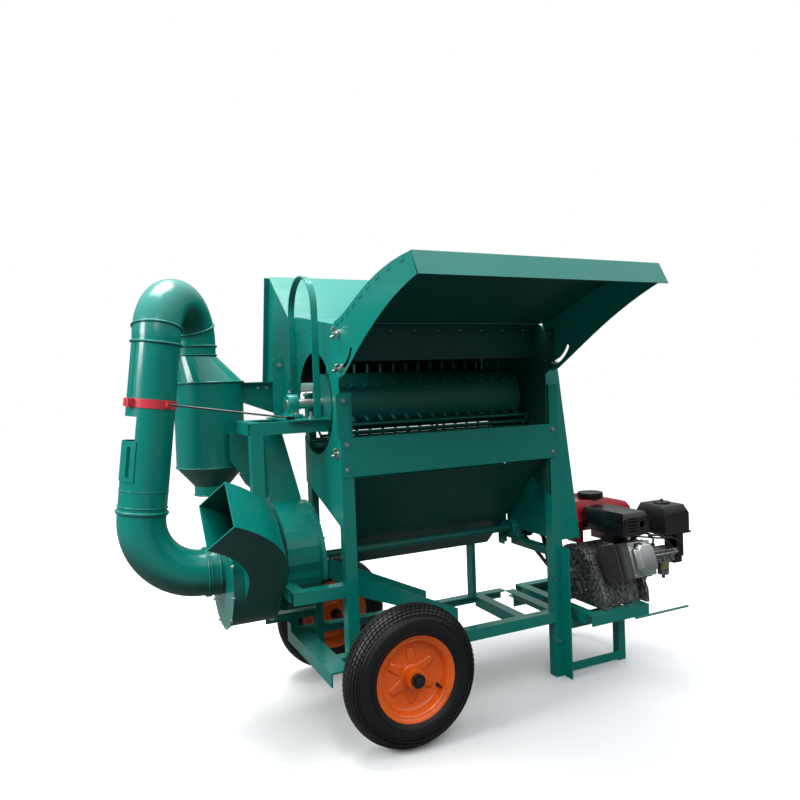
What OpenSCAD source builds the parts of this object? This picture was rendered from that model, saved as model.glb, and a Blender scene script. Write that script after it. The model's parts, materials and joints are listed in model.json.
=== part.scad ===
// Portable grain thresher: petrol engine, spike drum, suction fan with cyclone, on two wheels.
// Datum: X along the machine from the left post, Y from the front posts to the rear, Z up from the ground.

/* [Frame] */
// Length over the corner posts
machine_l = 779; // [700:1:860]
// Depth over the corner posts
frame_d = 330; // [310:1:380]
// Leg width of the angle bars
angle_w = 36; // [30:1:40]
// Thickness of the angle bars
angle_t = 4; // [3:0.5:5]
// Thickness of the sheet panels
sheet_t = 3; // [2:0.5:4]
// Top of the corner posts above the ground
post_top = 990; // [970:1:1020]
// Underside of the chassis rails
rail_z = 186; // [180:1:190]
// Top of the left and right cross rails that carry the fan shaft
carrier_z = 432; // [424:1:440]
// Reach of the left carrier frame beyond the posts
carrier_reach = 160; // [150:1:164]
// Gap left between bars that are welded end to end
weld_gap = 0.2; // [0.1:0.1:0.3]

/* [Threshing drum] */
// Height of the drum shaft
drum_z = 958; // [950:1:970]
// Distance of the drum shaft behind the front posts
drum_y = 212; // [205:1:220]
// Radius of the closed drum
drum_r = 92; // [84:1:98]
// Length of a spike tooth above the drum
spike_l = 28; // [20:1:32]
// Rows of spike teeth round the drum
spike_rows = 6; // [4:1:8]
// Teeth in one row
spike_count = 15; // [8:1:18]
// Radius of the drum shaft
shaft_r = 15; // [12.5:0.5:17]
// Radius of the round opening in the left end wall
window_r = 160; // [145:1:166]
// Pitch radius of the drum pulley
drum_pulley_r = 75; // [65:1:80]

/* [Panels] */
// Bottom of the front apron
apron_z = 744; // [730:1:760]
// Height of the front apron
apron_h = 114; // [100:1:125]
// Rear edge of the end walls
wall_rear = 400; // [390:1:410]
// Height of the end walls at the front
wall_front_z = 1190; // [1185:1:1200]
// Height of the end walls at the rear
wall_rear_z = 1250; // [1230:1:1270]

/* [Hood] */
// Distance of the hood pivot in front of the posts
hood_pivot_y = -30; // [-34:1:-26]
// Height of the hood pivot
hood_pivot_z = 1160; // [1155:1:1165]
// Radius of the arc slots round the pivot
slot_radius = 100; // [92:1:104]
// Angle that the arc slots let the hood fall
hood_fall = 55; // [45:1:58]
// Running gap beside moving sheets
side_gap = 0.3; // [0.2:0.1:0.6]

/* [Fan] */
// Distance of the fan shaft behind the front posts
fan_y = 270; // [262:1:276]
// Height of the fan shaft
fan_z = 462; // [458:1:466]
// Radius of the fan housing
fan_r = 170; // [160:1:176]
// Width of the fan housing
fan_w = 140; // [130:1:144]
// Radius of the fan shaft
fan_shaft_r = 12.5; // [10:0.5:14]
// Pitch radius of the fan pulley
fan_pulley_r = 38; // [32:1:42]
// Radius of the suction pipe
pipe_r = 69; // [60:0.5:72]
// Wall of the suction pipe
pipe_t = 2; // [1.5:0.5:3]
// Lean of the suction pipe towards the machine
pipe_lean = 7; // [5:0.5:8]
// Centreline radius of the lower elbow
elbow_r = 170; // [160:1:180]
// Length of the straight suction pipe above the lower elbow
pipe_len = 520; // [500:1:530]
// Radius of the cyclone body
cyclone_r = 111; // [100:1:114]
// Opening travel of the air gate
gate_travel = 70; // [50:1:75]

/* [Wheels] */
// Outer radius of a tyre
tyre_r = 200; // [195:1:205]
// Section radius of a tyre
tyre_section_r = 50; // [44:1:50]
// Distance of the axle behind the left post
wheel_x = 120; // [105:1:140]
// Track between the tyre centres
track = 640; // [620:1:680]
// Radius of the axle
axle_r = 12.5; // [10:0.5:13]
// Outer radius of a rim flange
rim_r = 122; // [118:1:124]

/* [Engine] */
// Distance from the right posts to the engine's inner face
engine_gap = 97; // [93:1:111]
// Distance of the crankshaft behind the front posts
crank_y = 60; // [50:1:70]
// Height of the crankshaft above the engine feet
crank_h = 106; // [104:1:110]
// Radius of the crankshaft
crank_r = 10; // [9:0.5:12]
// Pitch radius of the groove for the drum belt
engine_pulley_r = 40; // [36:1:44]
// Pitch radius of the groove for the fan belt
fan_drive_r = 34; // [30:1:38]
// Radial clearance of a running fit
fit_gap = 0.06; // [0.04:0.01:0.1]

/* [Hidden] */
$fn = 64;
origin_x = 325;
origin_y = 85;
rail_top = rail_z + angle_w;
axle_z = tyre_r;
near_y = frame_d / 2 - track / 2;
far_y = frame_d / 2 + track / 2;
shelf_z = drum_z - 42;
wall_l = -sheet_t;
wall_r = machine_l - angle_w - 12;
hopper_r = wall_r + 23;
fan_right = -carrier_reach - 6;
fan_left = fan_right - fan_w;
elbow_x = fan_left - 52;
foot_x = elbow_x - elbow_r * cos(pipe_lean);
foot_z = fan_z + elbow_r + elbow_r * sin(pipe_lean);
top_x = foot_x + pipe_len * sin(pipe_lean);
top_z = foot_z + pipe_len * cos(pipe_lean);
collar_x = -325;
collar_y = fan_y + 200;
cyclone_x = collar_x + 41;
collar_z = 1124;
bend_r = sqrt(pow(collar_x - top_x, 2) + pow(collar_y - fan_y, 2)) / 2;
bend_turn = atan2(collar_y - fan_y, collar_x - top_x);
base_z = rail_top + 4;
crank_z = base_z + crank_h;
engine_x = machine_l + engine_gap;
belt_x = machine_l + 26;
fan_belt_x = belt_x + 20;
green = [0.02, 0.42, 0.36];
steel = [0.62, 0.63, 0.64];
black = [0.05, 0.05, 0.055];
alu = [0.55, 0.56, 0.56];

module place() {
    translate([-origin_x, -origin_y, 0]) children();
}

function ell(w, t, sx, sy) = [[0, 0], [sx * w, 0], [sx * w, sy * t], [sx * t, sy * t], [sx * t, sy * w], [0, sy * w]];

function bezier(a, b, c, d, n) = [for (i = [0:n]) let (s = i / n, r = 1 - s)
    r * r * r * a + 3 * r * r * s * b + 3 * r * s * s * c + s * s * s * d];

function arc(cx, cy, r, a0, a1, n) = [for (i = [0:n]) let (a = a0 + (a1 - a0) * i / n)
    [cx + r * cos(a), cy + r * sin(a)]];

// A profile drawn in (Y, Z), swept along X from x0 to x1.
module along_x(x0, x1) {
    translate([x0, 0, 0]) rotate([90, 0, 90]) linear_extrude(x1 - x0) children();
}

// A profile drawn in (X, Z), swept along Y from y0 to y1.
module along_y(y0, y1) {
    translate([0, y1, 0]) rotate([90, 0, 0]) linear_extrude(y1 - y0) children();
}

module bar_x(x0, x1, y, z, sy, sz) {
    along_x(x0, x1) translate([y, z]) polygon(ell(angle_w, angle_t, sy, sz));
}

module bar_y(y0, y1, x, z, sx, sz) {
    along_y(y0, y1) translate([x, z]) polygon(ell(angle_w, angle_t, sx, sz));
}

module bar_z(z0, z1, x, y, sx, sy) {
    translate([x, y, z0]) linear_extrude(z1 - z0) polygon(ell(angle_w, angle_t, sx, sy));
}

module rod_x(x0, x1, y, z, r) {
    translate([x0, y, z]) rotate([0, 90, 0]) cylinder(h = x1 - x0, r = r);
}

module rod_y(y0, y1, x, z, r) {
    translate([x, y1, z]) rotate([90, 0, 0]) cylinder(h = y1 - y0, r = r);
}

module hex_bolt_y(x, y, z, r, h) {
    translate([x, y, z]) rotate([90, 0, 0]) cylinder(h = h, r = r, $fn = 6);
}

module hex_bolt_x(x, y, z, r, h) {
    translate([x, y, z]) rotate([0, -90, 0]) cylinder(h = h, r = r, $fn = 6);
}

// Frame

module corner_posts() {
    color(green) place() {
        bar_z(150, post_top, 0, 0, 1, 1);
        difference() {
            union() {
                bar_z(0, post_top, machine_l - angle_w, 0, 1, 1);
                translate([machine_l - angle_t, -40, 0]) cube([angle_t, 40, 440]);
            }
            for (z = [330, 372]) rod_y(-1, angle_t + 1, machine_l - 22, z, 5);
        }
        bar_z(150, post_top, 0, frame_d, 1, -1);
        bar_z(carrier_z - angle_w, post_top, machine_l - angle_w, frame_d, 1, -1);
    }
}

module chassis_rails() {
    x0 = angle_w + weld_gap;
    x1 = machine_l - angle_w - weld_gap;
    y0 = angle_w + weld_gap;
    y1 = frame_d - angle_w - weld_gap;
    color(green) place() {
        difference() {
            bar_x(x0, x1, 0, rail_top, 1, -1);
            rod_y(-1, angle_t + 1, wheel_x, axle_z, axle_r + fit_gap);
        }
        difference() {
            bar_x(x0, x1 - 96, frame_d, rail_top, -1, -1);
            rod_y(frame_d - angle_t - 1, frame_d + 1, wheel_x, axle_z, axle_r + fit_gap);
        }
        bar_y(y0, y1, 300, rail_top, 1, -1);
        bar_y(y0, y1, 610, rail_top, 1, -1);
        bar_y(y0, y1, machine_l, carrier_z, -1, -1);
        bar_y(y0, y1, machine_l, rail_top, -1, -1);
        bar_x(646 + weld_gap, x1, frame_d, rail_top, -1, -1);
        bar_z(rail_top + weld_gap, 410, 600, frame_d, 1, -1);
    }
}

module outboard_frame() {
    upper_near = drum_y - 120;
    upper_far = drum_y + 100;
    upper_z = shelf_z - 4;
    low_z = 284;
    y0 = angle_w + weld_gap;
    beam_y = near_y + 68;
    color(green) place() {
        bar_x(-carrier_reach, -weld_gap, 0, carrier_z, 1, -1);
        bar_x(-carrier_reach, -weld_gap, frame_d, low_z, -1, -1);
        bar_z(low_z + weld_gap, carrier_z - weld_gap, -carrier_reach, frame_d, 1, -1);
        bar_y(y0, frame_d - y0, -carrier_reach, carrier_z, 1, -1);
        bar_z(rail_top + weld_gap, low_z - angle_w - weld_gap, -88, frame_d, 1, -1);
        translate([-88, beam_y, rail_top - 4]) cube([60, frame_d - beam_y, 4]);
        translate([-88, beam_y, rail_top - 40]) cube([4, frame_d - beam_y, 36]);
        bar_x(-28 + weld_gap, -weld_gap, 0, rail_top, 1, -1);
        bar_x(-28 + weld_gap, -weld_gap, frame_d, rail_top, -1, -1);
        bar_x(-240, wall_l, upper_near, upper_z, 1, -1);
        bar_x(-240, wall_l, upper_far, upper_z, -1, -1);
        bar_y(upper_near + y0, upper_far - y0, -240, upper_z, 1, -1);
        bar_z(fan_z + fan_r + 7, upper_z - angle_w - weld_gap, -240, upper_near, 1, 1);
    }
}

module bracket_plates() {
    color(green) place() {
        translate([-125, drum_y - 150, shelf_z - 4]) cube([125 + wall_l, 290, 4]);
        difference() {
            union() {
                translate([-112, drum_y + 88, shelf_z]) cube([42, 4, 178]);
                translate([-100, drum_y + 88, shelf_z + 178]) cube([30, 4, 12]);
                along_y(drum_y + 88, drum_y + 92) translate([-100, shelf_z + 178]) circle(12);
            }
            rod_y(drum_y + 87, drum_y + 93, -90, shelf_z + 168, 5);
        }
        translate([-74, drum_y + 63, shelf_z]) cube([4, 25 - weld_gap, 150]);
        along_y(-sheet_t, 0) difference() {
            union() {
                translate([-13, apron_z + apron_h + weld_gap]) square([40, 124]);
                translate([-5, apron_z + apron_h + 124]) square([24, 8]);
                for (x = [-5, 19]) translate([x, apron_z + apron_h + 124]) circle(8);
            }
            translate([7, apron_z + apron_h + 110]) circle(5);
        }
    }
}

module hoop_guard() {
    hoop_r = 117;
    hoop_top = drum_z + 398;
    color(green) place() along_x(-45, -25) difference() {
        union() {
            translate([drum_y, hoop_top - hoop_r]) circle(hoop_r);
            translate([drum_y - hoop_r, shelf_z]) square([2 * hoop_r, hoop_top - hoop_r - shelf_z]);
        }
        translate([drum_y, hoop_top - hoop_r]) circle(hoop_r - 4);
        translate([drum_y - hoop_r + 4, shelf_z - 1]) square([2 * hoop_r - 8, hoop_top - hoop_r - shelf_z + 1]);
    }
}

// Panels

// Pivot bolt and lock bolt of the hood in (Y, Z).
hood_points = [[hood_pivot_y, hood_pivot_z],
    [hood_pivot_y + slot_radius * cos(-95), hood_pivot_z + slot_radius * sin(-95)]];

module wall_profile(low_front, low_rear) {
    difference() {
        polygon([[0, low_front], [0, 1024], [-44, 1050], [-52, 1176], [0, wall_front_z - 18],
            [18, wall_front_z], [wall_rear, wall_rear_z], [wall_rear, 960], [frame_d, 900],
            [frame_d, low_rear]]);
        for (p = hood_points) translate(p) circle(6.05);
    }
}

module left_end_wall() {
    color(green) place() difference() {
        along_x(wall_l, 0) wall_profile(590, 700);
        rod_x(wall_l - 1, 1, drum_y, drum_z, window_r);
    }
}

module right_end_wall() {
    color(green) place() difference() {
        union() {
            along_x(wall_r, wall_r + sheet_t) wall_profile(622, 800);
            for (p = [[20, 700], [20, 930], [310, 830], [310, 930]])
                rod_x(wall_r + sheet_t, machine_l - angle_w, p[0], p[1], 12);
        }
        rod_x(wall_r - 1, wall_r + sheet_t + 1, drum_y, drum_z, shaft_r + 5);
    }
}

module front_apron() {
    color(green) place() translate([0, -sheet_t, apron_z]) cube([machine_l - 14, sheet_t, apron_h]);
}

module top_cover() {
    rise = (wall_rear_z - wall_front_z) / (wall_rear - 18);
    color(green) place() along_x(weld_gap, wall_r - weld_gap) polygon([
        [60, 1083], [60 + sheet_t, 1083], [60 + sheet_t, wall_front_z - 12 + rise * 42],
        [wall_rear - 4, wall_rear_z - 8], [wall_rear - 4, wall_rear_z - 5],
        [60, wall_front_z - 9 + rise * 42]]);
}

module rear_panel() {
    color(green) place() along_y(frame_d, frame_d + sheet_t) polygon([[weld_gap, 803], [weld_gap, 840],
        [machine_l - weld_gap, 840], [machine_l - weld_gap, 452], [176, 452], [20, 803]]);
}

// Grain pan: a front sheet that slopes down to the rear and a left cheek that leans inwards.
pan_top_y = 20;
pan_top_z = 735;
pan_low_y = 389;
pan_low_z = 388;
pan_slope = atan2(pan_top_z - pan_low_z, pan_low_y - pan_top_y);
pan_len = sqrt(pow(pan_top_z - pan_low_z, 2) + pow(pan_low_y - pan_top_y, 2));

module grain_pan() {
    a = [6.5, pan_top_y, pan_top_z];
    b = [40, frame_d, 745];
    c = [193, pan_low_y, pan_low_z];
    n = cross(b - a, c - a);
    t = 2.5 * n / norm(n);
    color(green) place() {
        translate([0, pan_top_y, pan_top_z]) rotate([-pan_slope, 0, 0])
            linear_extrude(sheet_t)
                polygon([[6.7, 0], [wall_r - 1, 0], [wall_r - 1, pan_len], [193.4, pan_len]]);
        polyhedron([a, b, c, a + t, b + t, c + t],
            [[0, 1, 2], [3, 5, 4], [0, 3, 4], [0, 4, 1], [1, 4, 5], [1, 5, 2], [2, 5, 3], [2, 3, 0]]);
    }
}

module grain_chute() {
    color(green) place() difference() {
        along_y(56, 280) polygon([[44, 445], [44, 380], [400, 240], [400, 280]]);
        along_y(59, 277) polygon([[43, 449], [43, 384], [401, 243], [401, 284]]);
    }
}

module concave_grate() {
    inner = drum_r + spike_l + 12;
    color(steel) place() {
        for (x = [40, wall_r / 2, wall_r - 18]) along_x(x, x + 6) difference() {
            translate([drum_y, drum_z]) circle(inner + 14);
            translate([drum_y, drum_z]) circle(inner + 8);
            translate([drum_y - 200, drum_z - 60]) square([400, 300]);
        }
        for (a = [-150:12:-30])
            rod_x(a < -60 ? 0.3 : 37, wall_r - 0.3, drum_y + (inner + 4) * cos(a), drum_z + (inner + 4) * sin(a), 4.5);
    }
}

// Drum

module threshing_drum() {
    x0 = 18;
    x1 = wall_r - 18;
    pitch = (x1 - x0 - 50) / (spike_count - 1);
    color([0.16, 0.3, 0.27]) place() difference() {
        union() {
            rod_x(x0, x1, drum_y, drum_z, drum_r);
            for (r = [0:spike_rows - 1]) for (i = [0:spike_count - 1])
                translate([x0 + 25 + i * pitch, drum_y, drum_z])
                    rotate([r * 360 / spike_rows, 0, 0])
                        cylinder(h = drum_r + spike_l, r = 5, $fn = 16);
        }
        rod_x(x0 + 4, x1 - 4, drum_y, drum_z, drum_r - 3);
        rod_x(x0 - 1, x1 + 1, drum_y, drum_z, shaft_r);
    }
}

module drum_shaft() {
    color(steel) place() {
        rod_x(-98, belt_x + 26, drum_y, drum_z, shaft_r);
    }
}

// A V pulley about X with its groove centred on x = 0.
module v_pulley(pitch_r, bore_r, w) {
    rotate([0, 90, 0]) rotate_extrude() polygon([[bore_r, -w / 2], [pitch_r + 3, -w / 2],
        [pitch_r + 3, -8.5], [pitch_r - 7, -5], [pitch_r - 7, 5], [pitch_r + 3, 8.5],
        [pitch_r + 3, w / 2], [bore_r, w / 2]]);
}

module drum_pulley() {
    color(black) place() translate([belt_x, drum_y, drum_z]) v_pulley(drum_pulley_r, shaft_r, 24);
}

module pillow_block(x, y, z, bore_r, h, hw, hl) {
    difference() {
        union() {
            rod_x(x - hw + 1, x + hw - 1, y, z, bore_r + 17);
            translate([x - hw, y - hl, z - h]) cube([2 * hw, 2 * hl, 13]);
            translate([x - 14, y - bore_r - 17, z - h]) cube([28, 2 * bore_r + 34, h]);
        }
        rod_x(x - 20, x + 20, y, z, bore_r + fit_gap);
        for (s = [-1, 1]) translate([x, y + s * (hl - 13), z - h - 1]) cylinder(h = 15, r = 5.5);
    }
}

module bearing_blocks() {
    color(green) place() {
        pillow_block(-80, drum_y, drum_z, shaft_r, drum_z - shelf_z, 17, 62);
        difference() {
            rod_x(wall_r + sheet_t, wall_r + sheet_t + 20, drum_y, drum_z, 42);
            rod_x(wall_r, wall_r + 40, drum_y, drum_z, shaft_r + fit_gap);
        }
        difference() {
            rod_x(lift_x0 - 18, lift_x0 - 0.2, fan_y, fan_z, 28);
            rod_x(lift_x0 - 23, lift_x0 + 1, fan_y, fan_z, fan_shaft_r + fit_gap);
        }
        pillow_block(machine_l - 16, fan_y, fan_z, fan_shaft_r, fan_z - carrier_z, 15, 54);
    }
}

// Hood

hood_outer = bezier([10, 1193], [-110, 1205], [-230, 1300], [-493, 1306], 14);
hood_inner = bezier([-523, 1252], [-350, 1218], [-190, 1125], [-64, 1045], 12);
hood_inner_right = bezier([-519, 1264], [-330, 1205], [-190, 1110], [-64, 1042], 12);
hood_l = wall_l - side_gap;
hood_r = wall_r + sheet_t + side_gap;

module hood_sheet() {
    color(green) place() along_x(hood_l - sheet_t, hood_r + sheet_t) polygon(concat(
        [for (p = hood_outer) [p[0], p[1] + 3]],
        [[-500, 1310], [-532, 1252], [-529, 1251], [-497, 1306]],
        [for (i = [14:-1:0]) [hood_outer[i][0], hood_outer[i][1] + 0.2]]));
}

// Round end of the lock bolt's slot at angle a, drawn from just past angle from through half a turn.
function slot_end(a, from) = arc(slot_radius * cos(a), slot_radius * sin(a), 6.5, from - 15, from - 165, 10);

module hood_side_profile(inner) {
    a1 = -95 - hood_fall;
    difference() {
        polygon(concat(hood_outer, [[-497, 1305]], inner,
            [[-40, 1036], [-8, 1036], [16, 1060], [24, 1160]]));
        translate([hood_pivot_y, hood_pivot_z]) {
            circle(6 + fit_gap);
            polygon(concat(arc(0, 0, slot_radius + 6.5, -95, a1, 24), slot_end(a1, a1),
                arc(0, 0, slot_radius - 6.5, a1, -95, 24), slot_end(-95, 85)));
        }
    }
}

module hood_sides() {
    color(green) place() {
        along_x(hood_l - sheet_t, hood_l) hood_side_profile(hood_inner);
        along_x(hood_r, hood_r + sheet_t) hood_side_profile(hood_inner_right);
    }
}

module hood_bolts() {
    color(steel) place() for (p = hood_points) {
        rod_x(hood_l - sheet_t - 8, 4, p[0], p[1], 6);
        rod_x(hood_l - sheet_t - 8, hood_l - sheet_t - 0.3, p[0], p[1], 11);
        rod_x(wall_r - 4, hood_r + sheet_t + 8, p[0], p[1], 6);
        rod_x(hood_r + sheet_t + 0.3, hood_r + sheet_t + 8, p[0], p[1], 11);
    }
}

// Feed hopper

module feed_roof() {
    color(green) place() along_x(-20, hopper_r) polygon([
        [wall_rear + 0.3, wall_rear_z - 4], [wall_rear + 4, wall_rear_z - 4],
        [wall_rear + 222, 1414], [wall_rear + 219, 1416]]);
}

module feed_wings() {
    outline = [[wall_rear + 0.3, 1000], [wall_rear + 0.3, wall_rear_z - 5], [wall_rear + 218, 1411],
        [wall_rear + 300, 1032]];
    color(green) place() {
        for (x = [-23, hopper_r]) along_x(x, x + sheet_t) polygon(outline);
        for (x = [-41, hopper_r + sheet_t]) along_x(x, x + 18) polygon([[wall_rear + 218, 1411],
            [wall_rear + 221, 1411], [wall_rear + 303, 1032], [wall_rear + 300, 1032]]);
        for (x = [-20, wall_r]) along_x(x, x + 20) polygon([[wall_rear + 0.3, 1000],
            [wall_rear + 0.3, wall_rear_z - 5], [wall_rear + 3.3, wall_rear_z - 5], [wall_rear + 3.3, 1000]]);
    }
}

module feed_table() {
    color(green) place() {
        along_x(-23, hopper_r + sheet_t) polygon([[wall_rear + 0.3, 997], [wall_rear + 300, 1029],
            [wall_rear + 300, 1026], [wall_rear + 0.3, 994]]);
        bar_y(wall_rear + 0.3, wall_rear + 240, -23, 993, 1, -1);
        bar_y(wall_rear + 0.3, wall_rear + 240, hopper_r + sheet_t, 993, -1, -1);
    }
}

// A rubber flap hangs behind the cover and stops grain from flying out of the feed mouth.
module feed_curtain() {
    color(black) place() translate([4, wall_rear - 12, 1024]) cube([wall_r - 8, 4, wall_rear_z - 11 - 1024]);
}

// Drive side

module guard_profile(d) {
    polygon([[104 + d, 1060 - d], [300 - d, 1060 - d], [326 - d, 960], [320 - d, 458 + d],
        [0 + d, 458 + d], [92 + d, 1040 - d]]);
}

module belt_guard() {
    color(green) place() {
        difference() {
            along_x(machine_l, machine_l + 79) guard_profile(0);
            along_x(machine_l + 3, machine_l + 76) guard_profile(3);
            translate([machine_l + 3, -5, 450]) cube([73, 322, 12]);
            rod_x(machine_l - 1, machine_l + 4, drum_y, drum_z, shaft_r + 8);
            rod_x(machine_l - 1, machine_l + 4, fan_y, fan_z, fan_shaft_r + 8);
        }
        translate([machine_l - angle_t, angle_t, 880]) cube([angle_t - 0.01, 110, 30]);
    }
}

module belt_loop(y0, z0, r0, y1, z1, r1, x) {
    along_x(x - 5.5, x + 5.5) difference() {
        hull() {
            translate([y0, z0]) circle(r0 + 4);
            translate([y1, z1]) circle(r1 + 4);
        }
        hull() {
            translate([y0, z0]) circle(r0 - 4);
            translate([y1, z1]) circle(r1 - 4);
        }
    }
}

module drive_belt() {
    color(black) place()
        belt_loop(drum_y, drum_z, drum_pulley_r, crank_y, crank_z, engine_pulley_r, belt_x);
}

module fan_belt() {
    color(black) place()
        belt_loop(fan_y, fan_z, fan_pulley_r, crank_y, crank_z, fan_drive_r, fan_belt_x);
}

// Fan and air path

// Outlet duct frame: local X is X, local Y leans up towards the viewer, local Z is the plate normal.
outlet_tilt = 137;
outlet_x = fan_right - 186;
outlet_y = -190;
outlet_z = 680;
duct_d = 137;
duct_cx = -199;
duct_cy = -341;
duct_ro = 390;
duct_ri = 278;

module duct_sector(d, ext) {
    a1 = 60 + ext;
    translate([duct_cx, duct_cy]) difference() {
        polygon(concat(arc(0, 0, duct_ro - d, 0, a1, 16), arc(0, 0, duct_ri + d, a1, 0, 16)));
        if (ext == 0) rotate(60) translate([duct_ri - 40, 0]) square([duct_ro, 20]);
    }
    translate([duct_cx + duct_ri + d, duct_cy - 150]) square([duct_ro - duct_ri - 2 * d, 150.01]);
}

module duct_outer() {
    translate([outlet_x, outlet_y, outlet_z]) rotate([outlet_tilt, 0, 0])
        translate([0, 0, -duct_d]) linear_extrude(duct_d) duct_sector(0, 0);
}

module duct_inner() {
    translate([outlet_x, outlet_y, outlet_z]) rotate([outlet_tilt, 0, 0])
        translate([0, 0, -duct_d + sheet_t]) linear_extrude(duct_d - 2 * sheet_t) duct_sector(sheet_t, 3);
}

module fan_outlet() {
    color(green) place() difference() {
        duct_outer();
        duct_inner();
        rod_x(fan_left - 1, fan_right + 1, fan_y, fan_z, fan_r + 0.1);
        rod_x(fan_right - 4, fan_right + 5, fan_y, fan_z, fan_r + 6.2);
        rod_x(fan_left - 4, fan_left + 4, fan_y, fan_z, fan_r + 6.2);
    }
}

module fan_housing() {
    color(green) place() difference() {
        union() {
            rod_x(fan_left, fan_right, fan_y, fan_z, fan_r);
            for (x = [fan_left, fan_right - 3]) rod_x(x, x + 3, fan_y, fan_z, fan_r + 6);
            rod_x(elbow_x, fan_left, fan_y, fan_z, pipe_r + 3);
        }
        rod_x(fan_left + 3, fan_right - 3, fan_y, fan_z, fan_r - 3);
        rod_x(elbow_x - 1, fan_left + 4, fan_y, fan_z, pipe_r + 0.5);
        rod_x(fan_right - 4, fan_right + 1, fan_y, fan_z, fan_shaft_r + 2);
        intersection() {
            duct_inner();
            rod_x(fan_left + 3, fan_right - 3, fan_y, fan_z, fan_r + 7);
        }
    }
}

module rotor(x, w, hub_r, tip_r, blades) {
    translate([x, fan_y, fan_z]) difference() {
        union() {
            rotate([0, 90, 0]) cylinder(h = w, r = hub_r);
            translate([w - 4, 0, 0]) rotate([0, 90, 0]) cylinder(h = 4, r = tip_r - 24);
            for (a = [0:360 / blades:359]) rotate([a, 0, 0]) translate([8, hub_r - 4, -2])
                cube([w - 10, tip_r - hub_r + 4, 4]);
        }
        rotate([0, 90, 0]) translate([0, 0, -1]) cylinder(h = w + 2, r = fan_shaft_r);
    }
}

module fan_impeller() {
    color(steel) place() {
        rotor(fan_left + 16, 104, 24, 142, 6);
        rotor(lift_low + 8, 70, 22, 125, 4);
    }
}

module fan_shaft() {
    color(steel) place() rod_x(fan_left + 16, fan_belt_x + 14, fan_y, fan_z, fan_shaft_r);
}

module fan_pulley() {
    color(black) place() translate([fan_belt_x, fan_y, fan_z]) v_pulley(fan_pulley_r, fan_shaft_r, 24);
}

// A bead rolled round the pipe, about Z.
module bead(z, r) {
    translate([0, 0, z]) rotate_extrude() translate([r, 0]) circle(4, $fn = 24);
}

// The leaning pipe's own frame: its foot is at the upper end of the lower elbow.
module leaning() {
    place() translate([foot_x, fan_y, foot_z]) rotate([0, pipe_lean, 0]) children();
}

module pipe_section() {
    difference() {
        circle(pipe_r);
        circle(pipe_r - pipe_t);
    }
}

module suction_elbow() {
    color(green) {
        place() translate([elbow_x, fan_y, fan_z + elbow_r]) rotate([90, 0, 0])
            rotate([0, 0, 180 - pipe_lean]) rotate_extrude(angle = 90 + pipe_lean)
                translate([elbow_r, 0]) pipe_section();
        leaning() rotate_extrude() polygon(concat([[pipe_r - pipe_t, weld_gap], [pipe_r, weld_gap]],
            arc(pipe_r, 10, 5, -90, 90, 10), [[pipe_r, 30], [pipe_r - pipe_t, 30]]));
        place() translate([elbow_x + weld_gap, fan_y, fan_z]) rotate([0, 90, 0])
            rotate_extrude() translate([pipe_r - pipe_t, 0]) square([pipe_t, 51]);
    }
}

gate_z = 102;
gate_h = 116;
gate_a = 174;
gate_span = 58;
band_z = 315;

module wedge(r, a0, a1, h) {
    linear_extrude(h) polygon(concat([[0, 0]], arc(0, 0, r, a0, a1, 8)));
}

module suction_pipe() {
    color(green) difference() {
        leaning() union() {
            translate([0, 0, 30]) cylinder(h = pipe_len - 20, r = pipe_r);
            bead(pipe_len - 14, pipe_r + 2);
        }
        leaning() translate([0, 0, 29]) cylinder(h = pipe_len, r = pipe_r - pipe_t);
        leaning() translate([0, 0, gate_z + gate_h])
            wedge(160, gate_a - gate_span, gate_a + gate_span, gate_travel);
        place() translate([top_x - 100, fan_y - 100, top_z]) cube([200, 200, 60]);
    }
}

module air_gate() {
    color(green) leaning() translate([0, 0, gate_z]) {
        intersection() {
            difference() {
                cylinder(h = gate_h - 1, r = pipe_r + 3);
                translate([0, 0, -1]) cylinder(h = gate_h + 2, r = pipe_r + side_gap);
            }
            wedge(160, gate_a - gate_span - 6, gate_a + gate_span + 6, gate_h);
        }
        rotate([0, 0, gate_a + 46]) translate([pipe_r + 2.6, -2, 15]) cube([9, 4, 86]);
    }
}

module top_elbow() {
    color(green) place() {
        translate([(top_x + collar_x) / 2, (fan_y + collar_y) / 2, top_z])
            rotate([0, 0, bend_turn]) rotate([90, 0, 0])
                rotate_extrude(angle = 180) translate([bend_r, 0]) pipe_section();
        translate([collar_x, collar_y, 0]) rotate_extrude() polygon(concat(
            [[pipe_r - pipe_t, collar_z], [pipe_r, collar_z]], arc(pipe_r, top_z - 14, 5, -90, 90, 10),
            [[pipe_r, top_z - weld_gap], [pipe_r - pipe_t, top_z - weld_gap]]));
    }
}

cyclone_top = 1037;
cyclone_low = 760;

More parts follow.
